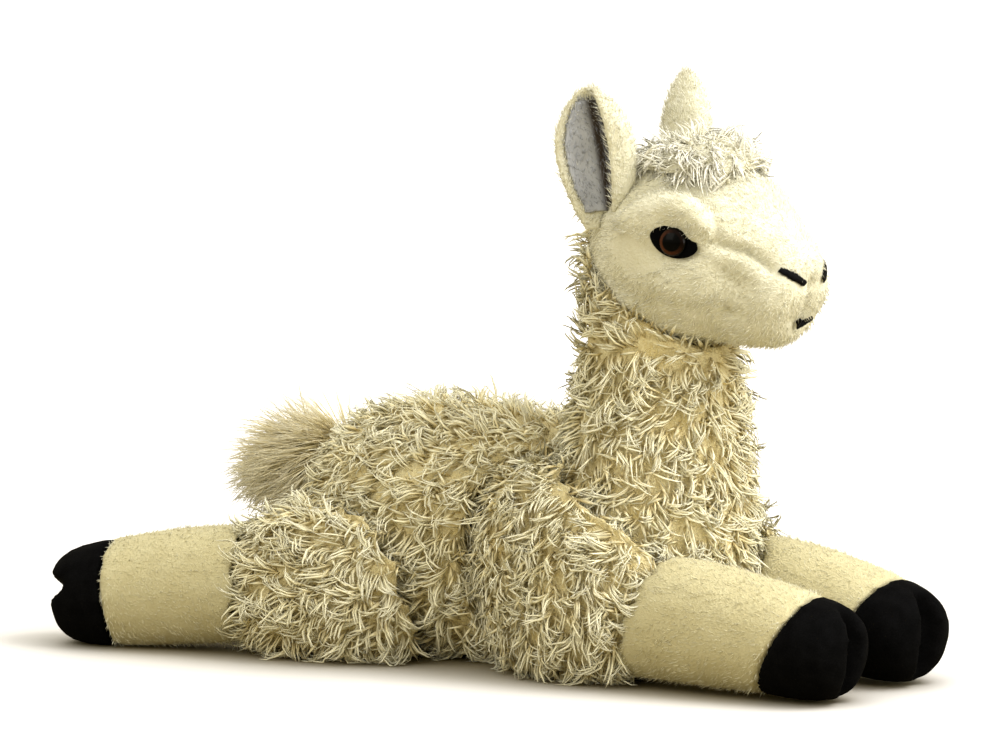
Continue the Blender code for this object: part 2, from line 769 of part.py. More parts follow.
def nostril_points(head):
    """The right nostril's slit, which slopes down towards the middle of the nose."""
    points = []
    for share in (-0.5, -0.17, 0.17, 0.5):
        across = -NOSTRIL_SPREAD + share * NOSTRIL_LENGTH * math.cos(NOSTRIL_SLOPE)
        height = NOSTRIL_HEIGHT - share * NOSTRIL_LENGTH * math.sin(NOSTRIL_SLOPE)
        points.append(on_muzzle(head, across, height))
    return points


def mouth_points(head):
    """A shallow smile, lowest in the middle."""
    points = []
    for share in (-0.5, -0.3, -0.1, 0.1, 0.3, 0.5):
        height = MOUTH_HEIGHT - MOUTH_SAG * (1 - (2 * share) ** 2)
        points.append(on_muzzle(head, share * MOUTH_WIDTH, height))
    return points


def stand_on_origin(collection):
    """Hangs every piece on one empty and puts the foot of the overall box at the origin."""
    bpy.context.view_layer.update()
    corners = [
        obj.matrix_world @ vertex.co
        for obj in collection.objects
        for vertex in obj.data.vertices
    ]
    low = [min(point[axis] for point in corners) for axis in range(3)]
    high = [max(point[axis] for point in corners) for axis in range(3)]
    llama = bpy.data.objects.new("llama", None)
    bpy.context.scene.collection.objects.link(llama)
    for obj in collection.objects:
        obj.parent = llama
    llama.location = (-(low[0] + high[0]) / 2, -(low[1] + high[1]) / 2, -low[2])
    bpy.context.view_layer.update()


def build():
    clear_scene()
    parts = new_collection("plush_llama")
    cutters = new_collection("cutters", hidden=True)
    curly = material("curly_cloth", CURLY_CREAM, 0.9)
    short = material("short_cloth", SHORT_CREAM, 0.85)
    long_pile = material("tail_cloth", TAIL_CREAM, 0.85)
    hoof_cloth = material("hoof_cloth", HOOF_BLACK, 0.7)
    grey = material("lining_cloth", LINING_GREY, 0.8)
    plastic = material("eye_plastic", EYE_BROWN, 0.08)
    thread = material("black_thread", THREAD_BLACK, 0.6)
    nylon = material("washer_nylon", WASHER_WHITE, 0.4)

    head = soft_form("head", head_rings(), parts, short, sides=10, levels=1)
    neck = soft_form("neck_and_chest", neck_rings(), parts, curly, sides=6, levels=2)
    torso = soft_form("torso", torso_rings(), parts, curly, sides=8, levels=2)
    shoulder = soft_form("shoulder_right", shoulder_rings(), parts, curly, sides=6, levels=2)
    thigh = soft_form("thigh_right", thigh_rings(), parts, curly, sides=6, levels=2)
    tail = soft_form("tail", tail_rings(), parts, long_pile, sides=8, levels=1)
    topknot = soft_form("topknot", topknot_rings(head), parts, curly, sides=8, levels=1)
    ear, lining = ear_forms(head, parts, short, grey)
    eye_pieces, eye_cutters = eye_forms(head, parts, cutters, plastic, thread, nylon)
    nostril, nostril_groove = stitching(
        "nostril_stitching_right", nostril_points(head), NOSTRIL_THREAD, parts, cutters, thread
    )
    mouth, mouth_groove = stitching(
        "mouth_stitching", mouth_points(head), MOUTH_THREAD, parts, cutters, thread
    )
    front = ("front", front_leg_rings(), FRONT_HOOF_LENGTH, FRONT_HOOF_LEAN, FRONT_HOOF_ROLL)
    front_leg, front_hoof = split_leg(*front, parts, cutters, short, hoof_cloth)
    hind = ("hind", hind_leg_rings(), HIND_HOOF_LENGTH, HIND_HOOF_LEAN, HIND_HOOF_ROLL)
    hind_leg, hind_hoof = split_leg(*hind, parts, cutters, short, hoof_cloth)
    for obj in (neck, torso, shoulder, thigh, topknot, tail):
        curl(obj)

    clear = TUFT_HEIGHT + SEAM_GAP
    apart = clear + BAG_ALLOWANCE
    sewn = clear + JOIN_ALLOWANCE
    around_head = surround("head", head_rings(), SEAM_GAP, cutters, sides=10)
    around_neck = surround("neck", neck_rings(), apart, cutters, sides=6)
    around_torso = surround("torso", torso_rings(), apart, cutters, sides=8)
    around_shoulder = surround("shoulder_right", shoulder_rings(), apart, cutters, sides=6)
    around_shoulder_left = mirrored(around_shoulder, "around_shoulder_left", cutters)
    tail_join = surround("tail_join", torso_rings(), sewn, cutters, sides=8)
    front_join = surround("front_join", shoulder_rings(), sewn, cutters, sides=6)
    hind_join = surround("hind_join", thigh_rings(), sewn, cutters, sides=6)
    far = 2 * WHOLE_LENGTH
    floor = block("floor", (-far, -far, -far), (far, far, 0), cutters)
    for obj in (topknot, ear, lining):
        cut(obj, around_head)
    cut(neck, around_head, floor)
    cut(shoulder, around_neck, floor)
    cut(torso, around_neck, around_shoulder, around_shoulder_left, floor)
    cut(thigh, around_torso, around_shoulder, floor)
    cut(tail, tail_join)
    cut(front_leg, front_join, around_neck, floor)
    cut(hind_leg, hind_join, around_torso, floor)
    cut(front_hoof, floor)
    cut(hind_hoof, floor)

    head_cutters = [mouth_groove, nostril_groove, *eye_cutters]
    for cutter in head_cutters[1:]:
        head_cutters.append(mirrored(cutter, cutter.name.replace("right", "left"), cutters))
    cut(head, *head_cutters)

    paired = [shoulder, thigh, front_leg, front_hoof, hind_leg, hind_hoof, ear, lining, nostril]
    for obj in paired + eye_pieces:
        mirrored(obj, obj.name.replace("right", "left"), parts)
    stand_on_origin(parts)


build()
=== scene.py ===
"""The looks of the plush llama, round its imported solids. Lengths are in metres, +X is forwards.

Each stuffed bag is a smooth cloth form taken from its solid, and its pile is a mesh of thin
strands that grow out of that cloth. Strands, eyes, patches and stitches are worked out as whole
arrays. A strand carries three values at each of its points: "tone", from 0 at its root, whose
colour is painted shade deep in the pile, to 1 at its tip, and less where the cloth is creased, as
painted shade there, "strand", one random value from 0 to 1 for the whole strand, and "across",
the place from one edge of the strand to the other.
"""

import math

import bmesh
import bpy
import numpy as np
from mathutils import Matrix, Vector


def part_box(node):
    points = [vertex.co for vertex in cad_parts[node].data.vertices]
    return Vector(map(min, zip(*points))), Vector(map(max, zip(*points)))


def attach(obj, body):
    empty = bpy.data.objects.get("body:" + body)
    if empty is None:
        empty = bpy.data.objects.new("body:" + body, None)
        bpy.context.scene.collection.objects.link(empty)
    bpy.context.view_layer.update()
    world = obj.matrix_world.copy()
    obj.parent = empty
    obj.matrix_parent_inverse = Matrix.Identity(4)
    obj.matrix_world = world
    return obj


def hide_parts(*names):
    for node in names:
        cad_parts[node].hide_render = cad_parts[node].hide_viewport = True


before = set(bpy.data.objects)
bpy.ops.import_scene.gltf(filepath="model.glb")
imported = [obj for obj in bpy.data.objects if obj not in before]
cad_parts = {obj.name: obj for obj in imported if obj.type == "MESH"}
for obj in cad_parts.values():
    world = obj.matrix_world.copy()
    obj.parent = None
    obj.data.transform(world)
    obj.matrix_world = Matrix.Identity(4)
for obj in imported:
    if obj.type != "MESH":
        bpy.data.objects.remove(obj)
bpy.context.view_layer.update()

MM = 0.001
FLOOR_CLEARANCE = 0.2 * MM
BURIED = 0.8 * MM  # how far a strand's root lies under its cloth
SHARE_OF_STRANDS = 1.0

# Each point of a cloth moves the first share of the way to the mean of its neighbours and then
# the second share of the way back
SMOOTHING_OUT = 0.6
SMOOTHING_BACK = 0.62

# How a cloth finds what covers it: how many places of a neighbour are tried, how many of its own
# points are tried at a time, and the least cosine between its normal and the way to such a place
NEIGHBOUR_PLACES = 1500
POINTS_AT_A_TIME = 2000
COVERED_COSINE = 0.45
# A point lies on the floor when it is this low and its normal points this steeply down
FLOOR_REACH = 1.0 * MM
FLOOR_FACING = -0.8

# The photograph's view: 1000 x 747 pixels, of which each shows 0.33 mm at the llama
CAMERA_AZIMUTH = math.radians(35)
CAMERA_ELEVATION = math.radians(8)
CAMERA_DISTANCE = 5.0
CAMERA_AHEAD = Vector((19.08, -3.41, 94.2)) * MM  # of the middle of the torso, on the floor
IMAGE_WIDTH_PIXELS = 1000
PIXEL_AT_LLAMA = 0.33 * MM
SENSOR_WIDTH = 36.0

# Colours, as linear red, green and blue
# The first colour of each pile below, at its strands' roots, is painted shade deep in the pile
WOOL_ROOT_SHADE = (0.680, 0.550, 0.250)
# The cloth under the wool runs from the wool's root colour to this one: painted shade in the gaps
# between the strands
WOOL_UNDER = (0.900, 0.820, 0.530)
WOOL_BODY = (0.945, 0.900, 0.670)
WOOL_TIP = (0.960, 0.935, 0.780)
PLUSH_ROOT_SHADE = (0.520, 0.465, 0.270)
PLUSH_UNDER = (0.560, 0.505, 0.305)
PLUSH_BODY = (0.610, 0.565, 0.370)
PLUSH_TIP = (0.880, 0.860, 0.720)
HEAD_ROOT_SHADE = (0.620, 0.575, 0.380)
HEAD_UNDER = (0.720, 0.690, 0.520)
HEAD_BODY = (0.840, 0.825, 0.700)
HEAD_TIP = (0.940, 0.930, 0.850)
CROWN_ROOT_SHADE = (0.800, 0.750, 0.560)
CROWN_BODY = (0.970, 0.960, 0.880)
CROWN_TIP = (0.990, 0.980, 0.920)
TAIL_ROOT_SHADE = (0.560, 0.450, 0.200)
TAIL_BODY = (0.840, 0.760, 0.520)
TAIL_TIP = (0.960, 0.930, 0.820)
LINING_DARK = (0.030, 0.020, 0.013)
LINING_GREY = (0.200, 0.205, 0.235)
LINING_PALE = (0.440, 0.460, 0.530)
HOOF_BLACK = (0.0010, 0.0010, 0.0012)
HOOF_SHEEN = (0.0034, 0.0034, 0.0040)
IRIS_BROWN = (0.045, 0.014, 0.006)
PUPIL_BLACK = (0.001, 0.001, 0.001)
THREAD_BLACK = (0.0015, 0.0015, 0.0018)


# Arrays


def unit(rows):
    """Each row divided by its own length."""
    return rows / np.maximum(np.linalg.norm(rows, axis=-1, keepdims=True), 1e-12)


def along_cloth(rows, normals):
    """Each direction less its share along the cloth's normal, brought to length 1."""
    return unit(rows - normals * (rows * normals).sum(-1, keepdims=True))


def waves(points, size, seed):
    """Smooth noise about 0: a sum of sines that run in nine random directions, each of them
    with a wavelength near the size given."""
    rng = np.random.default_rng(seed)
    ways = unit(rng.normal(size=(9, 3))) * rng.uniform(0.7, 1.4, (9, 1)) * (2 * math.pi / size)
    return np.sin(points @ ways.T + rng.uniform(0, 2 * math.pi, 9)).sum(-1) / 2.2


def ring_faces(rows, columns):
    """Two triangles for each cell of a grid whose last column joins its first."""
    row, column = np.meshgrid(np.arange(rows - 1), np.arange(columns), indexing="ij")
    beside = (column + 1) % columns
    a = row * columns + column
    b = row * columns + beside
    c = b + columns
    d = a + columns
    return np.concatenate([np.stack([a, b, c], -1), np.stack([a, c, d], -1)]).reshape(-1, 3)


def near_path(points, corners, width):
    """How near each point is to a line through corners: exp(-(distance / width) squared)."""
    corners = np.array(corners) * MM
    at = np.linspace(0, len(corners) - 1, 12 * len(corners))
    line = np.stack([np.interp(at, np.arange(len(corners)), corners[:, k]) for k in range(3)], -1)
    apart = np.linalg.norm(points[:, None] - line[None], axis=-1).min(1)
    return np.exp(-((apart / width) ** 2))


# Meshes


def piece(name, points, faces, material, values=None):
    """A smooth-shaded object at the origin, with its point values as attributes."""
    mesh = bpy.data.meshes.new(name)
    mesh.vertices.add(len(points))
    mesh.vertices.foreach_set("co", np.asarray(points, np.float32).ravel())
    mesh.loops.add(faces.size)
    mesh.loops.foreach_set("vertex_index", np.asarray(faces, np.int32).ravel())
    mesh.polygons.add(len(faces))
    mesh.polygons.foreach_set("loop_start", np.arange(0, faces.size, faces.shape[1], dtype=np.int32))
    mesh.polygons.foreach_set("use_smooth", np.ones(len(faces), bool))
    for label, value in (values or {}).items():
        layer = mesh.attributes.new(label, "FLOAT", "POINT")
        layer.data.foreach_set("value", np.asarray(value, np.float32).ravel())
    mesh.update(calc_edges=True)
    mesh.materials.append(material)
    obj = bpy.data.objects.new(name, mesh)
    bpy.context.scene.collection.objects.link(obj)
    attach(obj, "root")
    return obj


def solid_arrays(node, voxel):
    """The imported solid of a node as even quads: its loose triangles are merged and remeshed."""
    body = bmesh.new()
    body.from_mesh(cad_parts[node].data)
    bmesh.ops.remove_doubles(body, verts=body.verts, dist=0.002 * MM)
    mesh = bpy.data.meshes.new("copy")
    body.to_mesh(mesh)
    body.free()
    guide = bpy.data.objects.new("copy", mesh)
    bpy.context.scene.collection.objects.link(guide)
    even = guide.modifiers.new("even", "REMESH")
    even.mode = "VOXEL"
    even.voxel_size = voxel
    graph = bpy.context.evaluated_depsgraph_get()
    result = guide.evaluated_get(graph).to_mesh()
    points = np.empty(len(result.vertices) * 3)
    result.vertices.foreach_get("co", points)
    corners = np.empty(len(result.polygons) * 4, np.int64)
    result.loops.foreach_get("vertex_index", corners)
    bpy.data.objects.remove(guide)
    bpy.data.meshes.remove(mesh)
    return points.reshape(-1, 3), corners.reshape(-1, 4)


def smoothed(points, quads, rounds):
    """Evens out the surface: each point moves part of the way to the mean of its neighbours and
    then a little further back, so that bumps go and the volume stays."""
    ends = np.concatenate([quads[:, [k, (k + 1) % 4]] for k in range(4)])
    ends = np.concatenate([ends, ends[:, ::-1]])
    count = np.bincount(ends[:, 0], minlength=len(points))[:, None]
    for step in range(2 * rounds):
        sums = [np.bincount(ends[:, 0], points[ends[:, 1], k], len(points)) for k in range(3)]
        share = SMOOTHING_OUT if step % 2 == 0 else -SMOOTHING_BACK
        points = points + share * (np.stack(sums, -1) / count - points)
    return points


def point_normals(points, quads):
    """The mean of the quads' normals round each point, each of them across its diagonals."""
    corners = points[quads]
    across = np.cross(corners[:, 2] - corners[:, 0], corners[:, 3] - corners[:, 1])
    total = np.zeros_like(points)
    for k in range(4):
        for axis in range(3):
            total[:, axis] += np.bincount(quads[:, k], across[:, axis], len(points))
    return unit(total)


class Cloth:
    """A bag's outer surface as arrays: points, quads, normals, and how open each point lies."""

    def __init__(self, node, voxel, rounds):
        points, quads = solid_arrays(node, voxel)
        self.node = node
        self.quads = quads
        self.set_points(smoothed(points, quads, rounds))
        self.open = np.ones(len(points))

    def set_points(self, points):
        """Puts the cloth on these points, none of them below the floor."""
        points[:, 2] = np.maximum(points[:, 2], FLOOR_CLEARANCE)
        self.points = points
        self.normals = point_normals(points, self.quads)

    def keep_open(self, neighbours, reach):
        """No pile grows where a neighbour lies straight ahead of the cloth within the reach, or
        where the cloth lies on the floor."""
        for other in neighbours:
            ahead = other.points[:: max(1, len(other.points) // NEIGHBOUR_PLACES)]
            for start in range(0, len(self.points), POINTS_AT_A_TIME):
                part = slice(start, start + POINTS_AT_A_TIME)
                way = ahead[None] - self.points[part, None]
                apart = np.linalg.norm(way, axis=-1)
                facing = (way * self.normals[part, None]).sum(-1) / np.maximum(apart, 1e-9)
                self.open[part][((apart < reach) & (facing > COVERED_COSINE)).any(1)] = 0
        low = self.points[:, 2] < FLOOR_REACH
        self.open[low & (self.normals[:, 2] < FLOOR_FACING)] = 0

    def scatter(self, count, rng):
        """Roots spread evenly over the open cloth: each is a random place in a triangle that
        is picked by its area, and its normal is the mean of its corners'."""
        count = int(count * SHARE_OF_STRANDS)
        faces = np.concatenate([self.quads[:, :3], self.quads[:, [0, 2, 3]]])
        corners = self.points[faces]
        cross = np.cross(corners[:, 1] - corners[:, 0], corners[:, 2] - corners[:, 0])
        chance = np.linalg.norm(cross, axis=-1) * self.open[faces].mean(1)
        total = np.cumsum(chance)
        picks = (np.arange(count) + rng.uniform(0, 1, count)) / count * total[-1]
        chosen = np.minimum(np.searchsorted(total, picks), len(faces) - 1)
        first = np.sqrt(rng.uniform(0, 1, count))
        second = rng.uniform(0, 1, count)
        shares = np.stack([1 - first, first * (1 - second), first * second], -1)[..., None]
        return (corners[chosen] * shares).sum(1), unit((self.normals[faces[chosen]] * shares).sum(1))


def tubes(paths, wide, thick, sides, facing, shares):
    """Closed tubes along paths: a ring at each inner point, and a pole at each end. The shares
    say how far along its length each point of a path lies. With the points and the faces come two
    values at each point of one tube: how far along it lies, and where across.

    A ring's point at angle a is centre + wide * cos a * first + thick * sin a * second. The
    second direction stands across the path and nearest to the facing direction, and the first
    stands across both. Angles start a quarter turn round, at the tube's top.
    """
    count, samples, _ = paths.shape
    heading = unit(np.gradient(paths, axis=1))
    first = unit(np.cross(heading, facing[:, None]))
    second = np.cross(first, heading)
    angles = math.pi / 2 + 2 * math.pi * np.arange(sides) / sides
    turn = first[:, 1:-1, None] * np.cos(angles)[:, None] * wide[:, 1:-1, None, None]
    turn = turn + second[:, 1:-1, None] * np.sin(angles)[:, None] * thick[:, 1:-1, None, None]
    rings = paths[:, 1:-1, None] + turn
    points = np.concatenate([paths[:, :1], rings.reshape(count, -1, 3), paths[:, -1:]], axis=1)
    each = points.shape[1]
    around = np.arange(sides)
    beside = (around + 1) % sides
    start = np.stack([np.zeros(sides, int), 1 + around, 1 + beside], -1)
    last = 1 + sides * (samples - 3)
    end = np.stack([np.full(sides, each - 1), last + beside, last + around], -1)
    faces = np.concatenate([start, ring_faces(samples - 2, sides)[:, ::-1] + 1, end])
    faces = (faces[None] + each * np.arange(count)[:, None, None]).reshape(-1, 3)
    along = np.concatenate([[0], np.repeat(shares[1:-1], sides), [1]])
    across = np.concatenate([[0], np.tile(np.cos(angles), samples - 2), [0]])
    return points.reshape(-1, 3), faces, along, across


def grown(roots, normals, lean, length, rise, bend, curl, shares):
    """Paths that leave the cloth and turn as they go, with a point at each share of the length.

    A path's angle to the cloth's normal starts at rise and grows by bend over its length, and
    its direction across the cloth starts at lean and turns by curl.
    """
    at = (shares[1:] + shares[:-1]) / 2
    tilt = (rise[:, None] + bend[:, None] * at)[..., None]
    turn = (curl[:, None] * at)[..., None]
    side = np.cross(normals, lean)
    level = lean[:, None] * np.cos(turn) + side[:, None] * np.sin(turn)
    heading = normals[:, None] * np.cos(tilt) + level * np.sin(tilt)
    steps = heading * length[:, None, None] * np.diff(shares)[:, None]
    start = (roots - normals * BURIED)[:, None]
    paths = np.concatenate([start, start + np.cumsum(steps, axis=1)], axis=1)
    paths[..., 2] = np.maximum(paths[..., 2], FLOOR_CLEARANCE)
    return paths


def pile_arrays(paths, facing, width, thickness, taper, shares, shade, rng):
    """Three-sided strands on paths, with their values. The taper is a strand's size at each point
    as a share of the greatest, and the shade is what each strand's tone lacks."""
    count = len(paths)
    radii = np.stack([width, thickness])[..., None] / 2 * np.array(taper)
    points, faces, along, across = tubes(paths, radii[0], radii[1], 3, facing, shares)
    points[:, 2] = np.maximum(points[:, 2], FLOOR_CLEARANCE)
    values = {
        "across": np.tile(across, count),
        "strand": np.repeat(rng.uniform(0, 1, count), len(along)),
        "tone": np.tile(along, count) - np.repeat(shade, len(along)),
    }
    return points, faces, values


# Material groups


def group(name, inputs, outputs):
    """An empty node group with named sockets, and its two end nodes."""
    tree = bpy.data.node_groups.new(name, "ShaderNodeTree")
    for label, kind, value in inputs:
        socket = tree.interface.new_socket(label, in_out="INPUT", socket_type=kind)
        if value is not None:
            socket.default_value = value
    for label, kind in outputs:
        tree.interface.new_socket(label, in_out="OUTPUT", socket_type=kind)
    return tree, tree.nodes.new("NodeGroupInput"), tree.nodes.new("NodeGroupOutput")


def node(tree, kind, inputs=None, **settings):
    """A node with its settings, whose inputs are values or the sockets that feed them."""
    made = tree.nodes.new(kind)
    for label, value in settings.items():
        setattr(made, label, value)
    for label, value in (inputs or {}).items():
        if isinstance(value, bpy.types.NodeSocket):
            tree.links.new(value, made.inputs[label])
        else:
            made.inputs[label].default_value = value
    return made


def maths(tree, operation, *values):
    """What a Math node makes of values or sockets."""
    return node(tree, "ShaderNodeMath", dict(enumerate(values)), operation=operation).outputs[0]


def blend(tree, factor, first, second):
    """A colour between two, from the first at factor 0 to the second at factor 1."""
    mix = node(tree, "ShaderNodeMix", data_type="RGBA")
    for socket, value in ((0, factor), (6, first), (7, second)):
        if isinstance(value, bpy.types.NodeSocket):
            tree.links.new(value, mix.inputs[socket])
        else:
            mix.inputs[socket].default_value = (*value, 1)
    return mix.outputs[2]


def times(tree, colour, value):
    """A colour made lighter or darker by a value."""
    inputs = {"Value": value, "Color": colour}
    return node(tree, "ShaderNodeHueSaturation", inputs).outputs[0]


def noise(tree, scale, **inputs):
    """Noise over a piece's own places, as a value round 0.5."""
    place = node(tree, "ShaderNodeTexCoord").outputs["Object"]
    inputs = {"Vector": place, "Scale": scale, **inputs}
    return node(tree, "ShaderNodeTexNoise", inputs).outputs[0]


COLOUR = "NodeSocketColor"
FLOAT = "NodeSocketFloat"
PATCH_SCALE = 90.0  # of the lighter and darker patches of strands
BODY_END = 0.5  # how far along a strand its body's colour is reached
TIP_START = 0.45  # and where its tip's colour starts to come in


def strand_colour_group():
    """Three colours from root to tip, lightened or darkened for each strand and each patch."""
    inputs = [("Root", COLOUR, None), ("Body", COLOUR, None), ("Tip", COLOUR, None)]
    inputs += [("Along", FLOAT, 0.0), ("Strand", FLOAT, 0.5), ("Spread", FLOAT, 0.25)]
    tree, given, result = group("strand_colour", inputs, [("Colour", COLOUR)])
    along = given.outputs["Along"]
    low = node(tree, "ShaderNodeMapRange", {"Value": along, "From Max": BODY_END}).outputs[0]
    high = node(tree, "ShaderNodeMapRange", {"Value": along, "From Min": TIP_START}).outputs[0]
    lower = blend(tree, low, given.outputs["Root"], given.outputs["Body"])
    colour = blend(tree, high, lower, given.outputs["Tip"])
    mixed = maths(tree, "ADD", given.outputs["Strand"], noise(tree, PATCH_SCALE))
    scaled = maths(tree, "MULTIPLY", maths(tree, "SUBTRACT", mixed, 1.0), given.outputs["Spread"])
    tree.links.new(times(tree, colour, maths(tree, "ADD", scaled, 1.0)), result.inputs[0])
    return tree


def nap_group():
    """The lie of a cloth's nap: fine fibres and soft patches, as a colour and a height. The two
    noises add up to about 1, and each colour is reached at 0.3 to its side of that."""
    inputs = [("Deep", COLOUR, None), ("Pale", COLOUR, None)]
    inputs += [("Fibres", FLOAT, 1500.0), ("Patches", FLOAT, 120.0)]
    tree, given, result = group("cloth_nap", inputs, [("Colour", COLOUR), ("Height", FLOAT)])
    fibres = noise(tree, given.outputs["Fibres"], Detail=3.0, Distortion=0.6)
    patches = noise(tree, given.outputs["Patches"], Detail=2.0)
    limits = {"Value": maths(tree, "ADD", fibres, patches), "From Min": 0.7, "From Max": 1.3}
    share = node(tree, "ShaderNodeMapRange", limits).outputs[0]
    colour = blend(tree, share, given.outputs["Deep"], given.outputs["Pale"])
    tree.links.new(colour, result.inputs["Colour"])
    tree.links.new(fibres, result.inputs["Height"])
    return tree


FIBRES_ACROSS = 3.5  # the fibres that show across one strand of wool
STRAND_SHIFT = 37.0  # moves the numbers of a strand's fibres on by up to this many
# A fibre's brightness: its least value, what its ridge adds as painted light along its middle and
# painted shade at its edges, and what its own number adds
FIBRE_BASE_LIGHT = 0.70
FIBRE_RIDGE_PAINTED_LIGHT = 0.28
FIBRE_OWN_LIGHT = 0.24


def lock_fibres_group():
    """Splits a strand of wool into fibres that run along it.

    The fibres are numbered across the strand. Each one's ridge is the sine of its share across,
    which is also painted shade at its edges and painted light along its middle, and each has its
    own brightness.
    """
    inputs = [("Across", FLOAT, 0.0), ("Strand", FLOAT, 0.5)]
    tree, given, result = group("lock_fibres", inputs, [("Shade", FLOAT), ("Height", FLOAT)])
    offset = maths(tree, "MULTIPLY", given.outputs["Strand"], STRAND_SHIFT)
    across = maths(tree, "MULTIPLY", given.outputs["Across"], FIBRES_ACROSS / 2)
    place = maths(tree, "ADD", across, offset)
    ridge = maths(tree, "SINE", maths(tree, "MULTIPLY", maths(tree, "FRACT", place), math.pi))
    number = {"W": maths(tree, "FLOOR", place)}
    chance = node(tree, "ShaderNodeTexWhiteNoise", number, noise_dimensions="1D").outputs[0]
    ridge_painted_light = maths(tree, "MULTIPLY", ridge, FIBRE_RIDGE_PAINTED_LIGHT)
    own_light = maths(tree, "MULTIPLY", chance, FIBRE_OWN_LIGHT)
    shade = maths(tree, "ADD", maths(tree, "ADD", ridge_painted_light, own_light), FIBRE_BASE_LIGHT)
    tree.links.new(shade, result.inputs["Shade"])
    tree.links.new(ridge, result.inputs["Height"])
    return tree


STRAND_COLOUR = strand_colour_group()
LOCK_FIBRES = lock_fibres_group()
CLOTH_NAP = nap_group()


def finish(name, roughness, sheen=0.0, specular=0.3):
    """A new material with its Principled shader's own values set."""
    made = bpy.data.materials.new(name)
    made.use_nodes = True
    shader = made.node_tree.nodes["Principled BSDF"]
    shader.inputs["Roughness"].default_value = roughness
    shader.inputs["Sheen Weight"].default_value = sheen
    shader.inputs["Specular IOR Level"].default_value = specular
    return made, made.node_tree, shader


def attribute(tree, name):
    """What a mesh's attribute says at each point."""
    return node(tree, "ShaderNodeAttribute", attribute_name=name).outputs["Fac"]


PILE_ROUGHNESS = 0.75
FIBRE_HEIGHT = 0.04 * MM  # of the ridges along a strand of wool


def pile_finish(name, root, body, tip, spread, wool=False):
    """Strands coloured from root to tip, with painted shade at the root. A strand of wool also
    shows the fibres along it, with painted shade between them.
    """
    made, tree, shader = finish(name, PILE_ROUGHNESS, sheen=0.1)
    colour = node(tree, "ShaderNodeGroup", node_tree=STRAND_COLOUR)
    for label, value in (("Root", root), ("Body", body), ("Tip", tip)):
        colour.inputs[label].default_value = (*value, 1)
    colour.inputs["Spread"].default_value = spread
    tree.links.new(attribute(tree, "tone"), colour.inputs["Along"])
    tree.links.new(attribute(tree, "strand"), colour.inputs["Strand"])
    if not wool:
        tree.links.new(colour.outputs[0], shader.inputs["Base Color"])
        return made
    fibres = node(tree, "ShaderNodeGroup", node_tree=LOCK_FIBRES)
    for label in ("across", "strand"):
        tree.links.new(attribute(tree, label), fibres.inputs[label.capitalize()])
    ridges = {"Height": fibres.outputs["Height"], "Distance": FIBRE_HEIGHT}
    light = times(tree, colour.outputs[0], fibres.outputs["Shade"])
    tree.links.new(light, shader.inputs["Base Color"])
    tree.links.new(node(tree, "ShaderNodeBump", ridges).outputs[0], shader.inputs["Normal"])
    return made


def nap_finish(name, deep, pale, fibres, patches, bump, roughness=0.85, sheen=0.1, specular=0.2):
    """Cloth under or without long pile: mottled, with a fine nap raised by the bump's height."""
    made, tree, shader = finish(name, roughness, sheen, specular)
    nap = node(tree, "ShaderNodeGroup", node_tree=CLOTH_NAP)
    nap.inputs["Deep"].default_value = (*deep, 1)
    nap.inputs["Pale"].default_value = (*pale, 1)
    nap.inputs["Fibres"].default_value = fibres
    nap.inputs["Patches"].default_value = patches
    raised = node(tree, "ShaderNodeBump", {"Height": nap.outputs["Height"], "Distance": bump})
    tree.links.new(nap.outputs["Colour"], shader.inputs["Base Color"])
    tree.links.new(raised.outputs[0], shader.inputs["Normal"])
    return made


# How far from the middle of the eye the pupil ends, the iris starts and ends, and the rim starts
PUPIL_END = 0.62
IRIS_START = 0.70
IRIS_END = 0.86
RIM_START = 0.94
IRIS_STREAK_SCALE = 900.0


def eye_finish():
    """Clear-coated plastic: a black pupil, a brown iris and a dark rim, by distance from the
    middle, which the attribute "ring" carries from 0 to 1. The attribute "caught" is the light
    that the dome throws across onto the iris, which is most at its lower rear side."""
    made, tree, shader = finish("eye_plastic", 0.2, specular=0.04)
    ramp = node(tree, "ShaderNodeValToRGB", {"Fac": attribute(tree, "ring")})
    stops = (
        (0.0, PUPIL_BLACK),
        (PUPIL_END, PUPIL_BLACK),
        (IRIS_START, IRIS_BROWN),
        (IRIS_END, IRIS_BROWN),
        (RIM_START, PUPIL_BLACK),
    )
    while len(ramp.color_ramp.elements) < len(stops):
        ramp.color_ramp.elements.new(0.5)
    for element, (place, colour) in zip(ramp.color_ramp.elements, stops):
        element.position = place
        element.color = (*colour, 1)
    streaks = {"Value": noise(tree, IRIS_STREAK_SCALE), "To Min": 0.5, "To Max": 1.5}
    value = node(tree, "ShaderNodeMapRange", streaks).outputs[0]
    caught = maths(tree, "MULTIPLY", value, attribute(tree, "caught"))
    tree.links.new(times(tree, ramp.outputs[0], caught), shader.inputs["Base Color"])
    shader.inputs["Coat Weight"].default_value = 0.05
    shader.inputs["Coat Roughness"].default_value = 0.03
    return made


# Finishes. A pile's number is how far its strands differ in brightness. A cloth's are how fine
# its fibres and its patches are, how high its nap stands, and its roughness, sheen and specular
WOOL_PILE = pile_finish("wool_pile", WOOL_ROOT_SHADE, WOOL_BODY, WOOL_TIP, 0.20, wool=True)
CROWN_PILE = pile_finish("crown_pile", CROWN_ROOT_SHADE, CROWN_BODY, CROWN_TIP, 0.20, wool=True)
CROWN_FLUFF = pile_finish("crown_fluff", CROWN_ROOT_SHADE, CROWN_BODY, CROWN_TIP, 0.20)
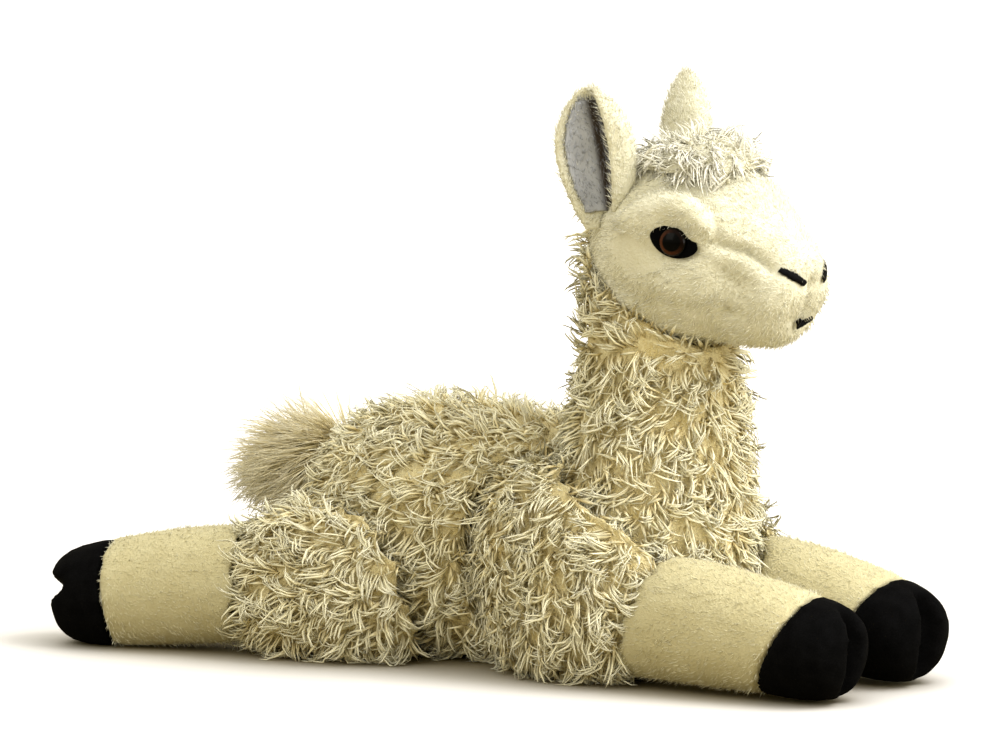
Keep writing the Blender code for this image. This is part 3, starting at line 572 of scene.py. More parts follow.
# The cloth under the wool and inside the tail is painted shade, darker than the strands, in the gaps
# between them
WOOL_CLOTH = nap_finish("wool_cloth", WOOL_ROOT_SHADE, WOOL_UNDER, 1300.0, 130.0, 1.2 * MM)
HEAD_PILE = pile_finish("head_pile", HEAD_ROOT_SHADE, HEAD_BODY, HEAD_TIP, 0.30)
HEAD_CLOTH = nap_finish("head_cloth", HEAD_UNDER, HEAD_BODY, 1300.0, 90.0, 0.5 * MM)
PLUSH_PILE = pile_finish("plush_pile", PLUSH_ROOT_SHADE, PLUSH_BODY, PLUSH_TIP, 0.22)
PLUSH_CLOTH = nap_finish("plush_cloth", PLUSH_UNDER, PLUSH_BODY, 1300.0, 90.0, 0.5 * MM)
TAIL_PILE = pile_finish("tail_pile", TAIL_ROOT_SHADE, TAIL_BODY, TAIL_TIP, 0.22)
LINING_PILE = pile_finish("lining_pile", LINING_DARK, LINING_GREY, LINING_PALE, 0.9)
HOOF_CLOTH = nap_finish("hoof_cloth", HOOF_BLACK, HOOF_SHEEN, 2200.0, 200.0, 0.15 * MM, 0.9, 0.0, 0.03)
PATCH_CLOTH = nap_finish(
    "patch_felt", THREAD_BLACK, THREAD_BLACK, 2500.0, 300.0, 0.2 * MM, 0.9, 0.0, 0.03
)
THREAD = nap_finish(
    "black_thread", THREAD_BLACK, HOOF_SHEEN, 2500.0, 300.0, 0.1 * MM, 0.55, 0.0, 0.08
)
EYE_PLASTIC = eye_finish()


# Bags


def bag(cloth, material, values=None):
    """The cloth itself as a piece in place of its solid, which it hides, with the values that its
    material reads at each point, if it reads any."""
    obj = piece(cloth.node + "_cloth", cloth.points, cloth.quads, material, values)
    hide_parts(cloth.node)


# The places of a wool strand's points along it, and its size there as a share of the greatest
LOCK_SHARES = np.array([0.0, 0.2, 0.5, 0.8, 1.0])
LOCK_TAPER = (0.0, 0.9, 1.0, 0.7, 0.0)
# A lock: its strands, how far from its middle they start, and the share of that which they lose
STRANDS_IN_LOCK = 4
LOCK_RADIUS = 2.4 * MM
LOCK_DRAWN_IN = 0.45
# What a lock's strands share: its least and greatest value, and how far a strand wanders from it.
# The length is a share of the wool's, and the angles, in degrees, are the tilt from the cloth's
# normal at the root, what the tip adds to it, and the turn to one side
LOCK_LENGTH = (0.75, 1.2, 0.12)
LOCK_RISE = (8, 36, 7)
LOCK_BEND = (60, 115, 10)
LOCK_CURL = (25, 120, 12)
# The wavelengths of the noise that swings the locks aside, turns their curl over and shades them
SWING_SIZE = 26 * MM
HAND_SIZE = 11 * MM
SHADE_SIZE = 20 * MM
STRAND_FLATNESS = 0.35  # a wool strand's thickness as a share of its width


def swung(way, normals, angle):
    """A direction across the cloth, turned by an angle about the normal."""
    return way * np.cos(angle)[:, None] + np.cross(normals, way) * np.sin(angle)[:, None]


def wool_locks(cloth, count, flow, seed, length=11.0, width=0.88):
    """Curly wool: locks of strands that rise off the cloth, bend over and lie down along the
    flow, which smooth noise swings to both sides. A lock's strands start side by side, curl the
    same way and draw together towards their tips."""
    rng = np.random.default_rng(seed)
    roots, normals = cloth.scatter(count // STRANDS_IN_LOCK, rng)
    locks = len(roots)
    way = along_cloth(flow(roots, normals), normals)
    lean = swung(way, normals, 0.6 * waves(roots, SWING_SIZE, seed) + rng.normal(0, 0.25, locks))
    hand = np.sign(waves(roots, HAND_SIZE, seed + 1) + rng.normal(0, 0.6, locks))

    def shared(low, high, wander):
        """A number for each lock, which its strands wander from."""
        values = np.repeat(rng.uniform(low, high, locks), STRANDS_IN_LOCK)
        return values + rng.normal(0, wander, len(values))

    of_locks = (roots, normals, lean, hand)
    roots, normals, lean, hand = (np.repeat(rows, STRANDS_IN_LOCK, axis=0) for rows in of_locks)
    aside = along_cloth(rng.normal(0, 1, roots.shape), normals) * LOCK_RADIUS
    aside = aside * rng.uniform(0, 1, (len(roots), 1))
    paths = grown(
        roots + aside,
        normals,
        lean,
        length * MM * shared(*LOCK_LENGTH),
        np.radians(shared(*LOCK_RISE)),
        np.radians(shared(*LOCK_BEND)),
        np.radians(shared(*LOCK_CURL)) * hand,
        LOCK_SHARES,
    )
    paths = paths - aside[:, None] * LOCK_DRAWN_IN * LOCK_SHARES[:, None] ** 2
    facing = unit(normals + 0.4 * np.cross(normals, lean) * rng.normal(0, 1, (len(roots), 1)))
    wide = width * MM * rng.uniform(0.6, 1.3, len(roots))
    deep = 0.15 * np.clip(waves(roots, SHADE_SIZE, seed + 2), -1, 1)
    thick = STRAND_FLATNESS * wide
    return pile_arrays(paths, facing, wide, thick, LOCK_TAPER, LOCK_SHARES, deep, rng)


SWIRL_SIZE = 14 * MM  # the wavelength of the noise that swings smooth pile aside


def short_pile(
    cloth,
    count,
    flow,
    seed,
    length=2.6,
    thickness=0.3,
    lift=62.0,
    samples=3,
    wander=0.35,
    droop=25.0,
    shade=None,
):
    """Smooth pile that leaves the cloth at up to the lift angle from its normal, and bends down
    along the flow by the droop angle. Lengths are in mm and angles in degrees. A strand has as
    many points as there are samples, it leaves the flow by about the wander, in radians, and the
    shade is a function of its root that says what its tone lacks."""
    rng = np.random.default_rng(seed)
    shares = np.linspace(0, 1, samples)
    roots, normals = cloth.scatter(count, rng)
    count = len(roots)
    way = along_cloth(flow(roots, normals), normals)
    swirl = waves(roots, SWIRL_SIZE, seed) + rng.normal(0, 0.8, count)
    lean = swung(way, normals, wander * swirl)
    paths = grown(
        roots,
        normals,
        lean,
        (length * rng.uniform(0.6, 1.25, count)) * MM + BURIED,
        np.radians(lift) * rng.uniform(0.5, 1.0, count),
        np.radians(droop) * rng.uniform(0.4, 1.4, count),
        rng.normal(0, 0.25, count),
        shares,
    )
    wide = rng.uniform(0.7, 1.3, count) * thickness * MM
    deep = np.zeros(count) if shade is None else shade(roots)
    taper = np.sin(math.pi * (0.22 + 0.78 * shares)) ** 0.6
    return pile_arrays(paths, normals, wide, 0.8 * wide, taper, shares, deep, rng)


def pile(name, made, material):
    """Strands as a piece of their own."""
    points, faces, values = made
    piece(name, points, faces, material, values)


def steady(x, y, z):
    """A flow that points the same way all over, with y away from the llama's middle plane."""
    return lambda points, normals: np.stack(
        [np.full(len(points), x), np.sign(points[:, 1]) * y, np.full(len(points), z)], -1
    )


NECK_TURN_BELOW = 2 * MM  # how far under the head the neck's wool lies level
NECK_TURN = 8 * MM  # the height over which it turns from hanging down to pointing up


def neck_flow(points, normals):
    """The neck's wool hangs down, but its top edge lies up against the jaw."""
    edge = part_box("head")[0].z - NECK_TURN_BELOW
    up = np.clip((points[:, 2] - edge) / NECK_TURN, -0.9, 0.6)
    return np.stack([np.full(len(points), -0.1), 0.35 * np.sign(points[:, 1]), up], -1)


SIDES = ("right", "left")
STITCHINGS = ("nostril_stitching_right", "nostril_stitching_left", "mouth_stitching")
# How many strands of wool each bag has, and which way they lie
WOOL_BAGS = {
    "torso": (6700, steady(-0.7, 0.25, -0.6)),
    "neck_and_chest": (6700, neck_flow),
    "shoulder_right": (3300, steady(0.3, 0.2, -0.9)),
    "shoulder_left": (3300, steady(0.3, 0.2, -0.9)),
    "thigh_right": (3100, steady(-0.7, 0.2, -0.6)),
    "thigh_left": (3100, steady(-0.7, 0.2, -0.6)),
}
# For each strand of wool, this many broad ones lie under it and fill the gaps
UNDER_PER_STRAND = 0.45
UNDERWOOL = {"length": 8.5, "thickness": 1.4, "lift": 78.0, "wander": 0.7, "droop": 15.0}
UNDERWOOL_SHADE = 0.25
WOOL_INSET = 2.2 * MM  # the cloth under the wool lies this far inside the solid's mean surface


def in_the_shade(roots):
    """The underwool lies deeper than the wool, in painted shade: its colour is nearer to its root's."""
    return np.full(len(roots), UNDERWOOL_SHADE)


def make_wool():
    """The curly bags. Each one's pile leaves out what its neighbours cover."""
    cloths = {name: Cloth(name, voxel=3.0 * MM, rounds=8) for name in WOOL_BAGS}
    for cloth in cloths.values():
        cloth.set_points(cloth.points - cloth.normals * WOOL_INSET)
    for index, (name, (strands, flow)) in enumerate(WOOL_BAGS.items()):
        cloth = cloths[name]
        cloth.keep_open([other for key, other in cloths.items() if key != name], 3.0 * MM)
        bag(cloth, WOOL_CLOTH)
        made = wool_locks(cloth, strands, flow, seed=100 + 7 * index)
        pile(name + "_wool", made, WOOL_PILE)
        under = int(strands * UNDER_PER_STRAND)
        made = short_pile(cloth, under, flow, seed=160 + index, shade=in_the_shade, **UNDERWOOL)
        pile(name + "_underwool", made, WOOL_PILE)
    return cloths


# Head


# Lines on the right side of the face, in mm from the back and the top of the head
BROW = [(27, -26, -21), (33, -25, -17.5), (39, -24, -15.5), (46, -23, -16.5), (52, -22.5, -20.5)]
OVER_BROW = [
    (23, -25, -18),
    (28, -23.5, -12),
    (36, -21.5, -9),
    (46, -20, -10.5),
    (54, -20, -16),
    (56, -21, -23),
]
TO_NOSTRIL = [(53, -23, -25.5), (58, -20.5, -27), (65, -17, -29), (70, -15, -32), (72.5, -14, -34.5)]
LIP = [(80, 0, -40), (79, 0, -44.5), (76, 0, -50), (73, 0, -55)]
MOUTH_CORNER = [(73, -6, -52), (69, -11, -51), (64, -14.5, -49), (58, -18, -48)]
PUFF = [(71, -9, -45), (75, -6.5, -44.5)]
CHEEK = [(38, -27, -42), (48, -26, -44)]
HOLLOW = [(63, -19, -40), (59, -21, -36.5)]
SOCKET = [(34, -27, -30), (43, -27, -33), (51, -24, -29)]
JAW = [(20, -22, -50), (40, -18, -58), (60, -12, -60)]
# How far each line is raised (or sunk, if negative), and how wide, in mm
FACE_RELIEF = (
    (BROW, 5.4, 5.8),
    (OVER_BROW, -2.6, 2.0),
    (TO_NOSTRIL, -2.8, 1.8),
    (LIP, -2.8, 1.6),
    (MOUTH_CORNER, -1.3, 1.8),
    (PUFF, 1.8, 5.5),
    (CHEEK, 1.4, 9.0),
    (HOLLOW, -1.6, 4.5),
    (SOCKET, -1.2, 3.0),
    (JAW, 1.2, 7.0),
)
# Painted shade along the creases: what the pile's tone lacks along each line, and how wide that
# runs, in mm
FACE_PAINTED_SHADE = (
    (OVER_BROW, 0.9, 1.2),
    (TO_NOSTRIL, 0.9, 1.5),
    (LIP, 0.9, 1.5),
    (HOLLOW, 0.6, 4.0),
    (MOUTH_CORNER, 0.5, 1.6),
)
CHEEKS_BELOW = 18 * MM  # how far under the top of the head the cheeks start


def face_field(points, lines):
    """The sum of what a set of lines does at each point, the same on both sides of the face."""
    low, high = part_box("head")
    folded = np.stack([points[:, 0] - low.x, -np.abs(points[:, 1]), points[:, 2] - high.z], -1)
    return sum(amount * near_path(folded, line, width * MM) for line, amount, width in lines)


def head_flow(points, normals):
    """The pile runs back from the nose, and down over the cheeks."""
    low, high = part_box("head")
    down = np.where(points[:, 2] > high.z - CHEEKS_BELOW, 0.1, -0.55)
    return np.stack([np.full(len(points), -1.0), 0 * points[:, 1], down], -1)


CROWN_INSET = 1.6 * MM  # the cloth under the topknot's curls lies this far inside the solid
STITCH_CLEAR = 2.2 * MM  # how far round a line of stitches no pile grows
# The bare oval round an eye, which lies a little ahead of it because the pile leans back
EYE_CLEAR_AHEAD = 1.2 * MM
EYE_CLEAR_LENGTH = 9.8 * MM
EYE_CLEAR_HEIGHT = 6.0 * MM


def make_head(cloths):
    """The head's cloth with its relief, bare round the eyes and the stitches, and the topknot."""
    head = Cloth("head", voxel=1.4 * MM, rounds=4)
    head.set_points(head.points + head.normals * face_field(head.points, FACE_RELIEF)[:, None] * MM)
    head.keep_open([cloths["neck_and_chest"]], 2 * MM)
    bag(head, HEAD_CLOTH)
    crown = Cloth("topknot", voxel=1.8 * MM, rounds=6)
    crown.set_points(crown.points - crown.normals * CROWN_INSET)
    head.keep_open([crown], 1.5 * MM)
    for side in SIDES:
        middle, ahead, up, _ = eye_frame(side)
        way = head.points - middle - EYE_CLEAR_AHEAD * ahead
        oval = ((way @ ahead) / EYE_CLEAR_LENGTH) ** 2 + ((way @ up) / EYE_CLEAR_HEIGHT) ** 2
        head.open[oval < 1] = 0
    for name in STITCHINGS:
        line, _ = stitch_line(name, 20)
        apart = np.linalg.norm(head.points[:, None] - line[None], axis=-1).min(1)
        head.open[apart < STITCH_CLEAR] = 0
    # The head's pile takes painted shade along the face's creases
    made = short_pile(
        head, count=14500, flow=head_flow, seed=11, shade=lambda roots: face_field(roots, FACE_PAINTED_SHADE)
    )
    pile("head_pile", made, HEAD_PILE)
    crown.keep_open([head], 1.5 * MM)
    bag(crown, HEAD_CLOTH)
    falling = steady(-0.5, 0.9, -0.3)
    curls = wool_locks(crown, count=1300, flow=falling, seed=23, length=9.5, width=0.8)
    pile("topknot_wool", curls, CROWN_PILE)
    made = short_pile(
        crown,
        count=1200,
        flow=steady(-0.2, 0.8, -0.3),
        seed=24,
        length=7.0,
        thickness=0.26,
        lift=40.0,
        samples=4,
        wander=0.9,
        droop=60.0,
    )
    pile("topknot_fluff", made, CROWN_FLUFF)
    return head


# Legs, hooves and tail


JOIN_REACH = 5.0 * MM  # how far a leg's cloth goes on under the wool it is sewn to
JOIN_STRETCH = 25.0 * MM  # the length of the leg that is drawn out to get there
# The pile near a hoof is paler: how far that reaches, and what its tone gains at the seam
SEAM_REACH = 3.2 * MM
SEAM_PALENESS = 0.6
# Which lower legs are sewn to what, and which way along the llama that lies
LEG_ENDS = (("front", "shoulder", -1.0), ("hind", "thigh", 1.0))


def seam_shade(hoof):
    """Paler pile within a few millimetres of the hoof, from every fourth of its points."""

    def shade(roots):
        places = hoof.points[::4]
        parts = np.array_split(roots, 20)
        apart = [np.linalg.norm(part[:, None] - places[None], axis=-1).min(1) for part in parts]
        return -SEAM_PALENESS * np.exp(-((np.concatenate(apart) / SEAM_REACH) ** 2))

    return shade


def make_legs(cloths):
    """The lower legs, whose cloth goes on under the wool they are sewn to, and the hooves."""
    for end, shoulder, back in LEG_ENDS:
        for index, side in enumerate(SIDES):
            hoof = Cloth(f"{end}_hoof_{side}", voxel=1.7 * MM, rounds=3)
            bag(hoof, HOOF_CLOTH)
            leg = Cloth(f"{end}_lower_leg_{side}", voxel=2.2 * MM, rounds=4)
            sewn_end = leg.points[:, 0] * back
            reach = np.clip(1 - (sewn_end.max() - sewn_end) / JOIN_STRETCH, 0, 1) * JOIN_REACH
            leg.set_points(leg.points + np.stack([back * reach, 0 * reach, 0 * reach], -1))
            leg.keep_open([cloths[f"{shoulder}_{side}"]], 4 * MM)
            bag(leg, PLUSH_CLOTH)
            made = short_pile(
                leg,
                count=3400,
                flow=steady(back, 0.0, -0.3),
                seed=31 + index,
                length=2.3,
                shade=seam_shade(hoof),
            )
            pile(f"{end}_lower_leg_{side}_pile", made, PLUSH_PILE)


TAIL_CORE = 0.62  # the tail's cloth as a share of its solid's size
TAIL_ROOT_UP = 6 * MM  # how far the tail's root lies over its middle


def make_tail(cloths):
    """The tail's cloth is a core inside the solid, and its long hair fills the rest."""
    tail = Cloth("tail", voxel=1.8 * MM, rounds=6)
    root = np.array([tail.points[:, 0].max(), 0, tail.points[:, 2].mean() + TAIL_ROOT_UP])
    tail.set_points(root + (tail.points - root) * TAIL_CORE)
    tail.keep_open([cloths["torso"]], 4 * MM)
    bag(tail, WOOL_CLOTH)
    made = short_pile(
        tail,
        count=3400,
        flow=steady(-1.0, 0.1, -0.35),
        seed=41,
        length=19.0,
        thickness=0.42,
        lift=78.0,
        samples=4,
        wander=0.3,
    )
    pile("tail_hair", made, TAIL_PILE)


# Ears


# The lining's zones. Places are shares of its half width ahead of its middle: the fold and how
# wide it is, where the dark front and the pale rear start, and over what share each comes in.
# The fold's and the front's values are painted shade, in the fold and at the front edge under the
# curled front flap; they and the paleness are what the tone loses or gains there
FOLD_PLACE = 0.15
FOLD_WIDTH = 0.16
FOLD_PAINTED_SHADE = 0.7
FRONT_PLACE = 0.3
FRONT_WIDTH = 0.2
FRONT_PAINTED_SHADE = 1.2
REAR_PLACE = 0.05
REAR_WIDTH = 0.4
REAR_PALENESS = 0.6
LINING_CLOTH_TONE = 0.6
LINING_PILE_GAIN = 0.35  # how far the pile's tone is over what its zone gives


def lining_shade(name):
    """Painted shade along the fold and at the front edge of the lining, under its curled front flap,
    and paler at its rear.
    """
    middle, axes, points = node_axes(name)
    ahead = axes[1] * np.sign(axes[1][0])
    half = ((points - middle) @ ahead).max()

    def shade(roots):
        place = (roots - middle) @ ahead / half
        fold = FOLD_PAINTED_SHADE * np.exp(-(((place - FOLD_PLACE) / FOLD_WIDTH) ** 2))
        front = FRONT_PAINTED_SHADE * np.clip((place - FRONT_PLACE) / FRONT_WIDTH, 0, 1)
        rear = REAR_PALENESS * np.clip((REAR_PLACE - place) / REAR_WIDTH, 0, 1)
        return fold + front - rear

    return shade


def make_ears(head):
    """The ears' cups, and in each its lining, whose cloth is coloured as its pile is."""
    up = steady(-0.1, 0.0, 1.0)
    for index, side in enumerate(SIDES):
        ear = Cloth("ear_" + side, voxel=0.9 * MM, rounds=3)
        ear.keep_open([head], 3 * MM)
        bag(ear, HEAD_CLOTH)
        made = short_pile(
            ear, count=3000, flow=up, seed=51 + index, length=2.8, thickness=0.28, lift=55.0
        )
        pile(f"ear_{side}_pile", made, HEAD_PILE)
        lining = Cloth("ear_lining_" + side, voxel=0.7 * MM, rounds=1)
        shade = lining_shade("ear_lining_" + side)
        # The lining's cloth takes the same painted shade as its pile
        tone = LINING_CLOTH_TONE - shade(lining.points)
        zones = {"tone": tone, "strand": np.full(len(tone), 0.5)}
        bag(lining, LINING_PILE, values=zones)
        made = short_pile(
            lining,
            count=1900,
            flow=up,
            seed=61 + index,
            length=2.4,
            thickness=0.24,
            lift=65.0,
            shade=lambda roots: shade(roots) - LINING_PILE_GAIN,
        )
        pile(f"ear_{side}_lining_pile", made, LINING_PILE)


# Eyes, nose and mouth


def node_axes(name):
    """The middle of a node, and its long, wide and thin directions, from its points."""
    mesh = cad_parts[name].data
    points = np.empty(len(mesh.vertices) * 3)
    mesh.vertices.foreach_get("co", points)
    points = points.reshape(-1, 3)
    middle = (points.max(0) + points.min(0)) / 2
    axes = np.linalg.svd(points - points.mean(0), full_matrices=False)[2]
    return middle, axes, points


def eye_frame(side):
    """The patch's middle, forwards along it, upwards and outwards."""
    middle, axes, _ = node_axes("eye_patch_" + side)
    away = -1 if side == "right" else 1
    out = axes[2] * np.sign(axes[2][1]) * away
    ahead = axes[0] * np.sign(axes[0][0])
    up = axes[1] * np.sign(axes[1][2])
    return middle, ahead, up, out


# The foot of a dome: how far it lies under the last row, and its two rings as shares of that row
FOOT_DEPTH = 0.8 * MM
FOOT_OUTER = 0.9
FOOT_INNER = 0.2


def dome_arrays(rows, columns, outline, height):
    """A closed dome on a flat foot: at share s from the middle and angle a, the place across
    is s times the outline at a, and the height is given by a function of s. The last row folds
    back under to the middle. With the points and the faces comes s at each point."""
    shares = np.sin(np.linspace(0, math.pi / 2, rows))[:, None]
    angles = 2 * math.pi * np.arange(columns) / columns
    wide, high = outline(angles)
    across = shares * wide
    upward = shares * high
    lift = np.broadcast_to(height(shares), across.shape)
    across = np.concatenate([across[1:], FOOT_OUTER * across[-1:], FOOT_INNER * across[-1:]])
    upward = np.concatenate([upward[1:], FOOT_OUTER * upward[-1:], FOOT_INNER * upward[-1:]])
    foot = lift[-1:] - FOOT_DEPTH
    lift = np.concatenate([lift[1:], foot, foot])
    grid = np.stack([across, upward, lift], -1).reshape(-1, 3)
    top = np.array([[0, 0, float(height(np.zeros((1, 1)))[0, 0])]])
    points = np.concatenate([grid, top, [[0, 0, foot[0, 0]]]])
    around = np.arange(columns)
    beside = (around + 1) % columns
    last = len(grid) - columns
    cap = np.stack([np.full(columns, len(grid)), around, beside], -1)
    base = np.stack([np.full(columns, len(grid) + 1), last + beside, last + around], -1)
    sides = ring_faces(rows + 1, columns)[:, ::-1]
    ring = np.concatenate([np.repeat(np.concatenate([shares[1:, 0], [1, 1]]), columns), [0, 1]])
    return points, np.concatenate([cap, sides, base]), ring


def placed(points, middle, ahead, up, out):
    """Points given along three directions, put where the middle is."""
    return middle + points[:, :1] * ahead + points[:, 1:2] * up + points[:, 2:] * out


def right_way(faces, ahead, up, out):
    """Turns the faces over where the directions are left-handed."""
    return faces if np.dot(np.cross(ahead, up), out) > 0 else faces[:, ::-1]


EYE_RADIUS = 4.7 * MM
EYE_DOME = 2.6 * MM
EYE_BASE = 1.1 * MM  # from the middle of the patch to the dome's foot
PATCH_HALF_LENGTH = 8.5 * MM
PATCH_HALF_WIDTH = 5.2 * MM
PATCH_RIM = 0.5 * MM  # the felt's height at its edge
PATCH_SWELL = 0.7 * MM  # and how much higher it is in the middle
# The light that the iris catches: its level in the middle of the eye, what it gains for each mm
# across the eye to the lower rear, and its least and greatest level
CAUGHT_LEVEL = 0.7
CAUGHT_GAIN = 0.26
CAUGHT_LIMITS = (0.1, 1.9)
DIAGONAL = 0.7  # the share of forwards, and of upwards, in the way across the eye


def round_outline(angles):
    """A circle."""
    return EYE_RADIUS * np.cos(angles), EYE_RADIUS * np.sin(angles)


def almond_outline(angles):
    """Along the eye, the cosine; across it, the sine drawn to a point at both corners."""
    across = np.sin(angles)
    return PATCH_HALF_LENGTH * np.cos(angles), PATCH_HALF_WIDTH * across * np.abs(across) ** 0.25


def dome_height(share):
    """The height of a half ellipsoid over its foot."""
    return EYE_BASE + EYE_DOME * np.sqrt(np.maximum(1 - share**2, 0))


def felt_height(share):
    """The height of a low mound, which falls with the square of the share."""
    return PATCH_RIM + PATCH_SWELL * (1 - share**2)


def make_eyes():
    """On each side of the head a plastic dome in the middle of a felt almond."""
    for side in SIDES:
        lie = eye_frame(side)
        points, faces, ring = dome_arrays(14, 48, round_outline, dome_height)
        up_ahead = (DIAGONAL * points[:, 0] + DIAGONAL * points[:, 1]) / MM
        caught = np.clip(CAUGHT_LEVEL - CAUGHT_GAIN * up_ahead, *CAUGHT_LIMITS)
        values = {"ring": ring, "caught": caught}
        place = placed(points, *lie)
        faces = right_way(faces, *lie[1:])
        eye = piece(f"eye_{side}_dome", place, faces, EYE_PLASTIC, values)
        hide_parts("eye_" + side)
        points, faces, _ = dome_arrays(10, 64, almond_outline, felt_height)
        place = placed(points, *lie)
        faces = right_way(faces, *lie[1:])
        patch = piece(f"eye_{side}_felt", place, faces, PATCH_CLOTH)
        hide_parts("eye_patch_" + side)


def stitch_line(name, count, share=1.0):
    """Places along a share of a thread's solid, on a curve of the second degree through it."""
    middle, axes, points = node_axes(name)
    mean = points.mean(0)
    way = axes[0] * np.sign(axes[0][1] + 1e-9)
    at = (points - mean) @ way
    ends = share * np.linspace(at.min(), at.max(), count)
    bend = [np.polyval(np.polyfit(at, (points - mean)[:, k], 2), ends) for k in range(3)]
    return mean + np.stack(bend, -1), way


THREAD_THICKNESS = 0.6 * MM
THREAD_RISE = 0.7 * MM  # how high a stitch's arc stands in its middle
# What skin a place on a line of stitches is laid on: how far to the side of it, and how far above
# or below it, the skin may lie
SKIN_ASIDE = 1.6 * MM
SKIN_REACH = 9 * MM


def laid_on(line, out, head):
    """Moves a line along the outward direction onto the head's skin, by a curve of the third
    degree through what each of its places needs."""
    way = head.points[None] - line[:, None]
    ahead = way @ out
    aside = np.linalg.norm(way - ahead[..., None] * out, axis=-1)
    near = (aside < SKIN_ASIDE) & (np.abs(ahead) < SKIN_REACH)
    need = np.where(near, ahead, -1.0).max(1)
    at = np.linspace(-1, 1, len(line))
    return line + np.polyval(np.polyfit(at, need, 3), at)[:, None] * out


def satin_stitches(name, node_name, head, share, count, width, slant):
    """Short threads laid side by side across a line: each is an arc that rises in its middle."""
    line, way = stitch_line(node_name, count, share)
    aside = line[:, 1].mean()
    out = unit(np.array([1.0, 0.6 * np.sign(aside) * (abs(aside) > MM), 0.35]))
    line = laid_on(line, out, head)
    across = unit(np.cross(out, way)) + slant * way
    at = np.linspace(-1, 1, 7)
    rng = np.random.default_rng(len(name))
    swell = (1 - 0.35 * np.abs(np.linspace(-1, 1, count)) ** 3) * rng.uniform(0.85, 1.15, count)
    paths = line[:, None] + across * (at[None, :, None] * width / 2 * swell[:, None, None])
    paths = paths + out * ((1 - at**2) * THREAD_RISE)[None, :, None]
    radii = np.full((count, len(at)), THREAD_THICKNESS / 2)
    points, faces, _, _ = tubes(paths, radii, radii, 6, np.repeat(out[None], count, 0), (at + 1) / 2)
    obj = piece(name, points, faces, THREAD)
    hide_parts(node_name)


def make_stitching(head):
    """Two nostrils, and a mouth whose stitches cover the middle of its solid."""
    nostril = {"share": 0.88, "count": 22, "width": 3.2 * MM, "slant": 0.3}
    mouth = {"share": 0.55, "count": 20, "width": 2.4 * MM, "slant": 0.3}
    for name in STITCHINGS[:2]:
        satin_stitches(name + "_threads", name, head, **nostril)
    satin_stitches("mouth_threads", STITCHINGS[2], head, **mouth)


# Studio


def area_light(name, place, aim, size, power, colour):
    """A square lamp of this size in metres and power in watts, turned to what it aims at."""
    lamp = bpy.data.lights.new(name, "AREA")
    lamp.shape = "SQUARE"
    lamp.size = size
    lamp.energy = power
    lamp.color = colour
    obj = bpy.data.objects.new(name, lamp)
    bpy.context.scene.collection.objects.link(obj)
    obj.location = place
    obj.rotation_euler = (Vector(aim) - Vector(place)).to_track_quat("-Z", "Y").to_euler()


# What the floor throws back up at the llama
FLOOR_BOUNCE = (0.30, 0.25, 0.13)
# What the camera sees of the floor, in the open and close to the llama, where it is a painted
# shadow, and how far that reaches
FLOOR_WHITE = (0.93, 0.93, 1.0)
FLOOR_SHADE = (0.16, 0.12, 0.03)
FLOOR_SHADE_REACH = 0.045
# The floor's glow for the camera starts at one distance from the middle and is full at another
GLOW_START = 0.2
GLOW_FULL = 1.0
GLOW = 0.60
# The light that comes from all round the llama at its own level, and from above it
AMBIENT_LEVEL = (0.62, 0.56, 0.38)
AMBIENT_ABOVE = (1.20, 1.14, 0.95)
WHITE = (1, 1, 1)
# Each lamp's place, what it aims at, its size, its power and its colour
LAMPS = {
    "key": ((0.6, 0.2, 0.8), (0, 0, 0.08), 0.6, 8.0, (1, 0.98, 0.92)),
    "side": ((1.1, 0.0, 0.3), (0.05, 0, 0.08), 0.5, 5.5, (1, 0.98, 0.92)),
    "fill": ((-0.2, -1.3, 0.9), (0, 0, 0.08), 1.0, 6.5, (1, 0.97, 0.86)),
}


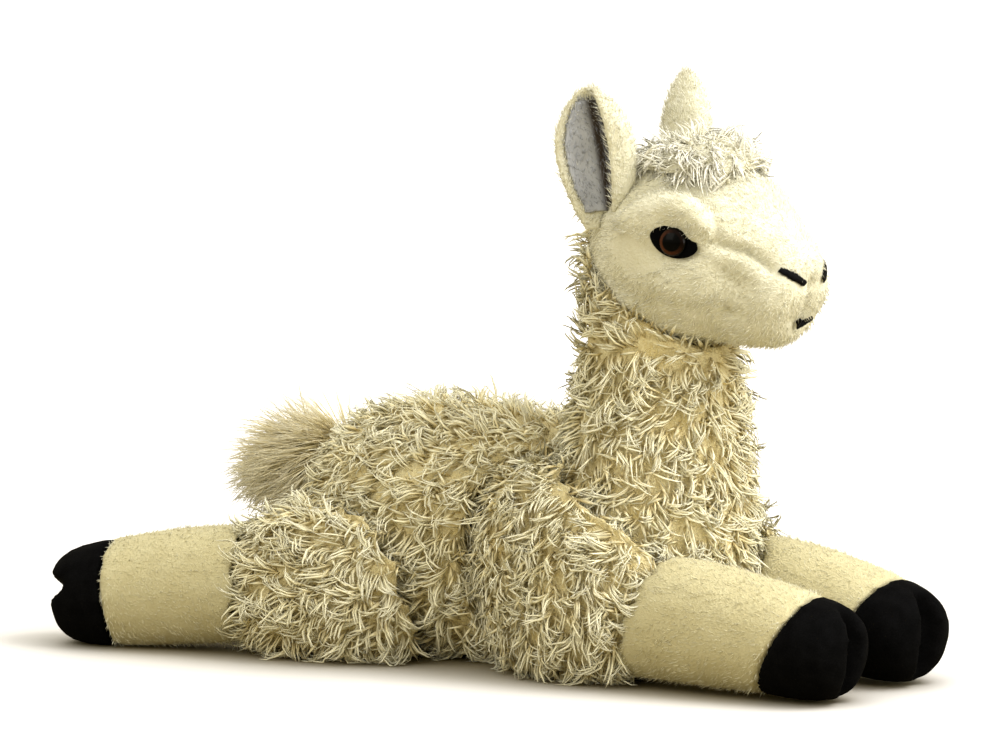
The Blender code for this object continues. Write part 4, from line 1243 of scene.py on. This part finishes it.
def make_floor():
    """A big white sheet that glows a little for the camera alone, so that it blends into a white
    background and still takes the llama's shadow, deepened by a painted shadow close to the llama."""
    bpy.ops.mesh.primitive_plane_add(size=14, location=(0, 0, 0))
    floor = bpy.context.active_object
    floor.name = "floor"
    paper, tree, shader = finish("white_paper", 0.9)
    seen = node(tree, "ShaderNodeLightPath").outputs["Is Camera Ray"]
    # A painted shadow where the llama closes the floor in
    open_sky = node(tree, "ShaderNodeAmbientOcclusion", {"Distance": FLOOR_SHADE_REACH}, samples=8)
    shown = blend(tree, open_sky.outputs["AO"], FLOOR_SHADE, FLOOR_WHITE)
    tree.links.new(blend(tree, seen, FLOOR_BOUNCE, shown), shader.inputs["Base Color"])
    place = node(tree, "ShaderNodeTexCoord").outputs["Object"]
    apart = node(tree, "ShaderNodeVectorMath", {0: place}, operation="LENGTH").outputs["Value"]
    limits = {"Value": apart, "From Min": GLOW_START, "From Max": GLOW_FULL, "To Max": GLOW}
    glow = maths(tree, "MULTIPLY", seen, node(tree, "ShaderNodeMapRange", limits).outputs[0])
    shader.inputs["Emission Color"].default_value = (*WHITE, 1)
    tree.links.new(glow, shader.inputs["Emission Strength"])
    floor.data.materials.append(paper)


def make_sky():
    """White for the camera. For everything else, a warm light that grows towards the top."""
    world = bpy.data.worlds.new("studio")
    bpy.context.scene.world = world
    world.use_nodes = True
    sky = world.node_tree
    seen = node(sky, "ShaderNodeLightPath").outputs["Is Camera Ray"]
    way = node(sky, "ShaderNodeTexCoord").outputs["Generated"]
    height = node(sky, "ShaderNodeSeparateXYZ", {0: way}).outputs["Z"]
    around = blend(sky, height, AMBIENT_LEVEL, AMBIENT_ABOVE)
    sky.links.new(blend(sky, seen, around, WHITE), sky.nodes["Background"].inputs["Color"])


def make_studio():
    """The floor, the sky and the lamps, with colours shown as they are."""
    make_floor()
    make_sky()
    for name, lamp in LAMPS.items():
        area_light(name, *lamp)
    bpy.context.scene.view_settings.view_transform = "Standard"


def make_camera():
    """The photograph's view, from far off through a long lens, as its flat look needs."""
    level = math.cos(CAMERA_ELEVATION)
    back = Vector(
        (math.sin(CAMERA_AZIMUTH) * level, -math.cos(CAMERA_AZIMUTH) * level, math.sin(CAMERA_ELEVATION))
    )
    camera = bpy.data.cameras.new("camera")
    camera.sensor_width = SENSOR_WIDTH
    camera.lens = SENSOR_WIDTH * CAMERA_DISTANCE / (IMAGE_WIDTH_PIXELS * PIXEL_AT_LLAMA)
    camera.clip_start = 0.1
    camera.clip_end = 50
    obj = bpy.data.objects.new("camera", camera)
    bpy.context.scene.collection.objects.link(obj)
    low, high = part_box("torso")
    target = Vector(((low.x + high.x) / 2, 0, 0)) + CAMERA_AHEAD
    obj.location = target + back * CAMERA_DISTANCE
    obj.rotation_euler = (-back).to_track_quat("-Z", "Y").to_euler()
    bpy.context.scene.camera = obj


make_camera()
bags = make_wool()
head_bag = make_head(bags)
make_legs(bags)
make_tail(bags)
make_ears(head_bag)
make_eyes()
make_stitching(head_bag)
make_studio()
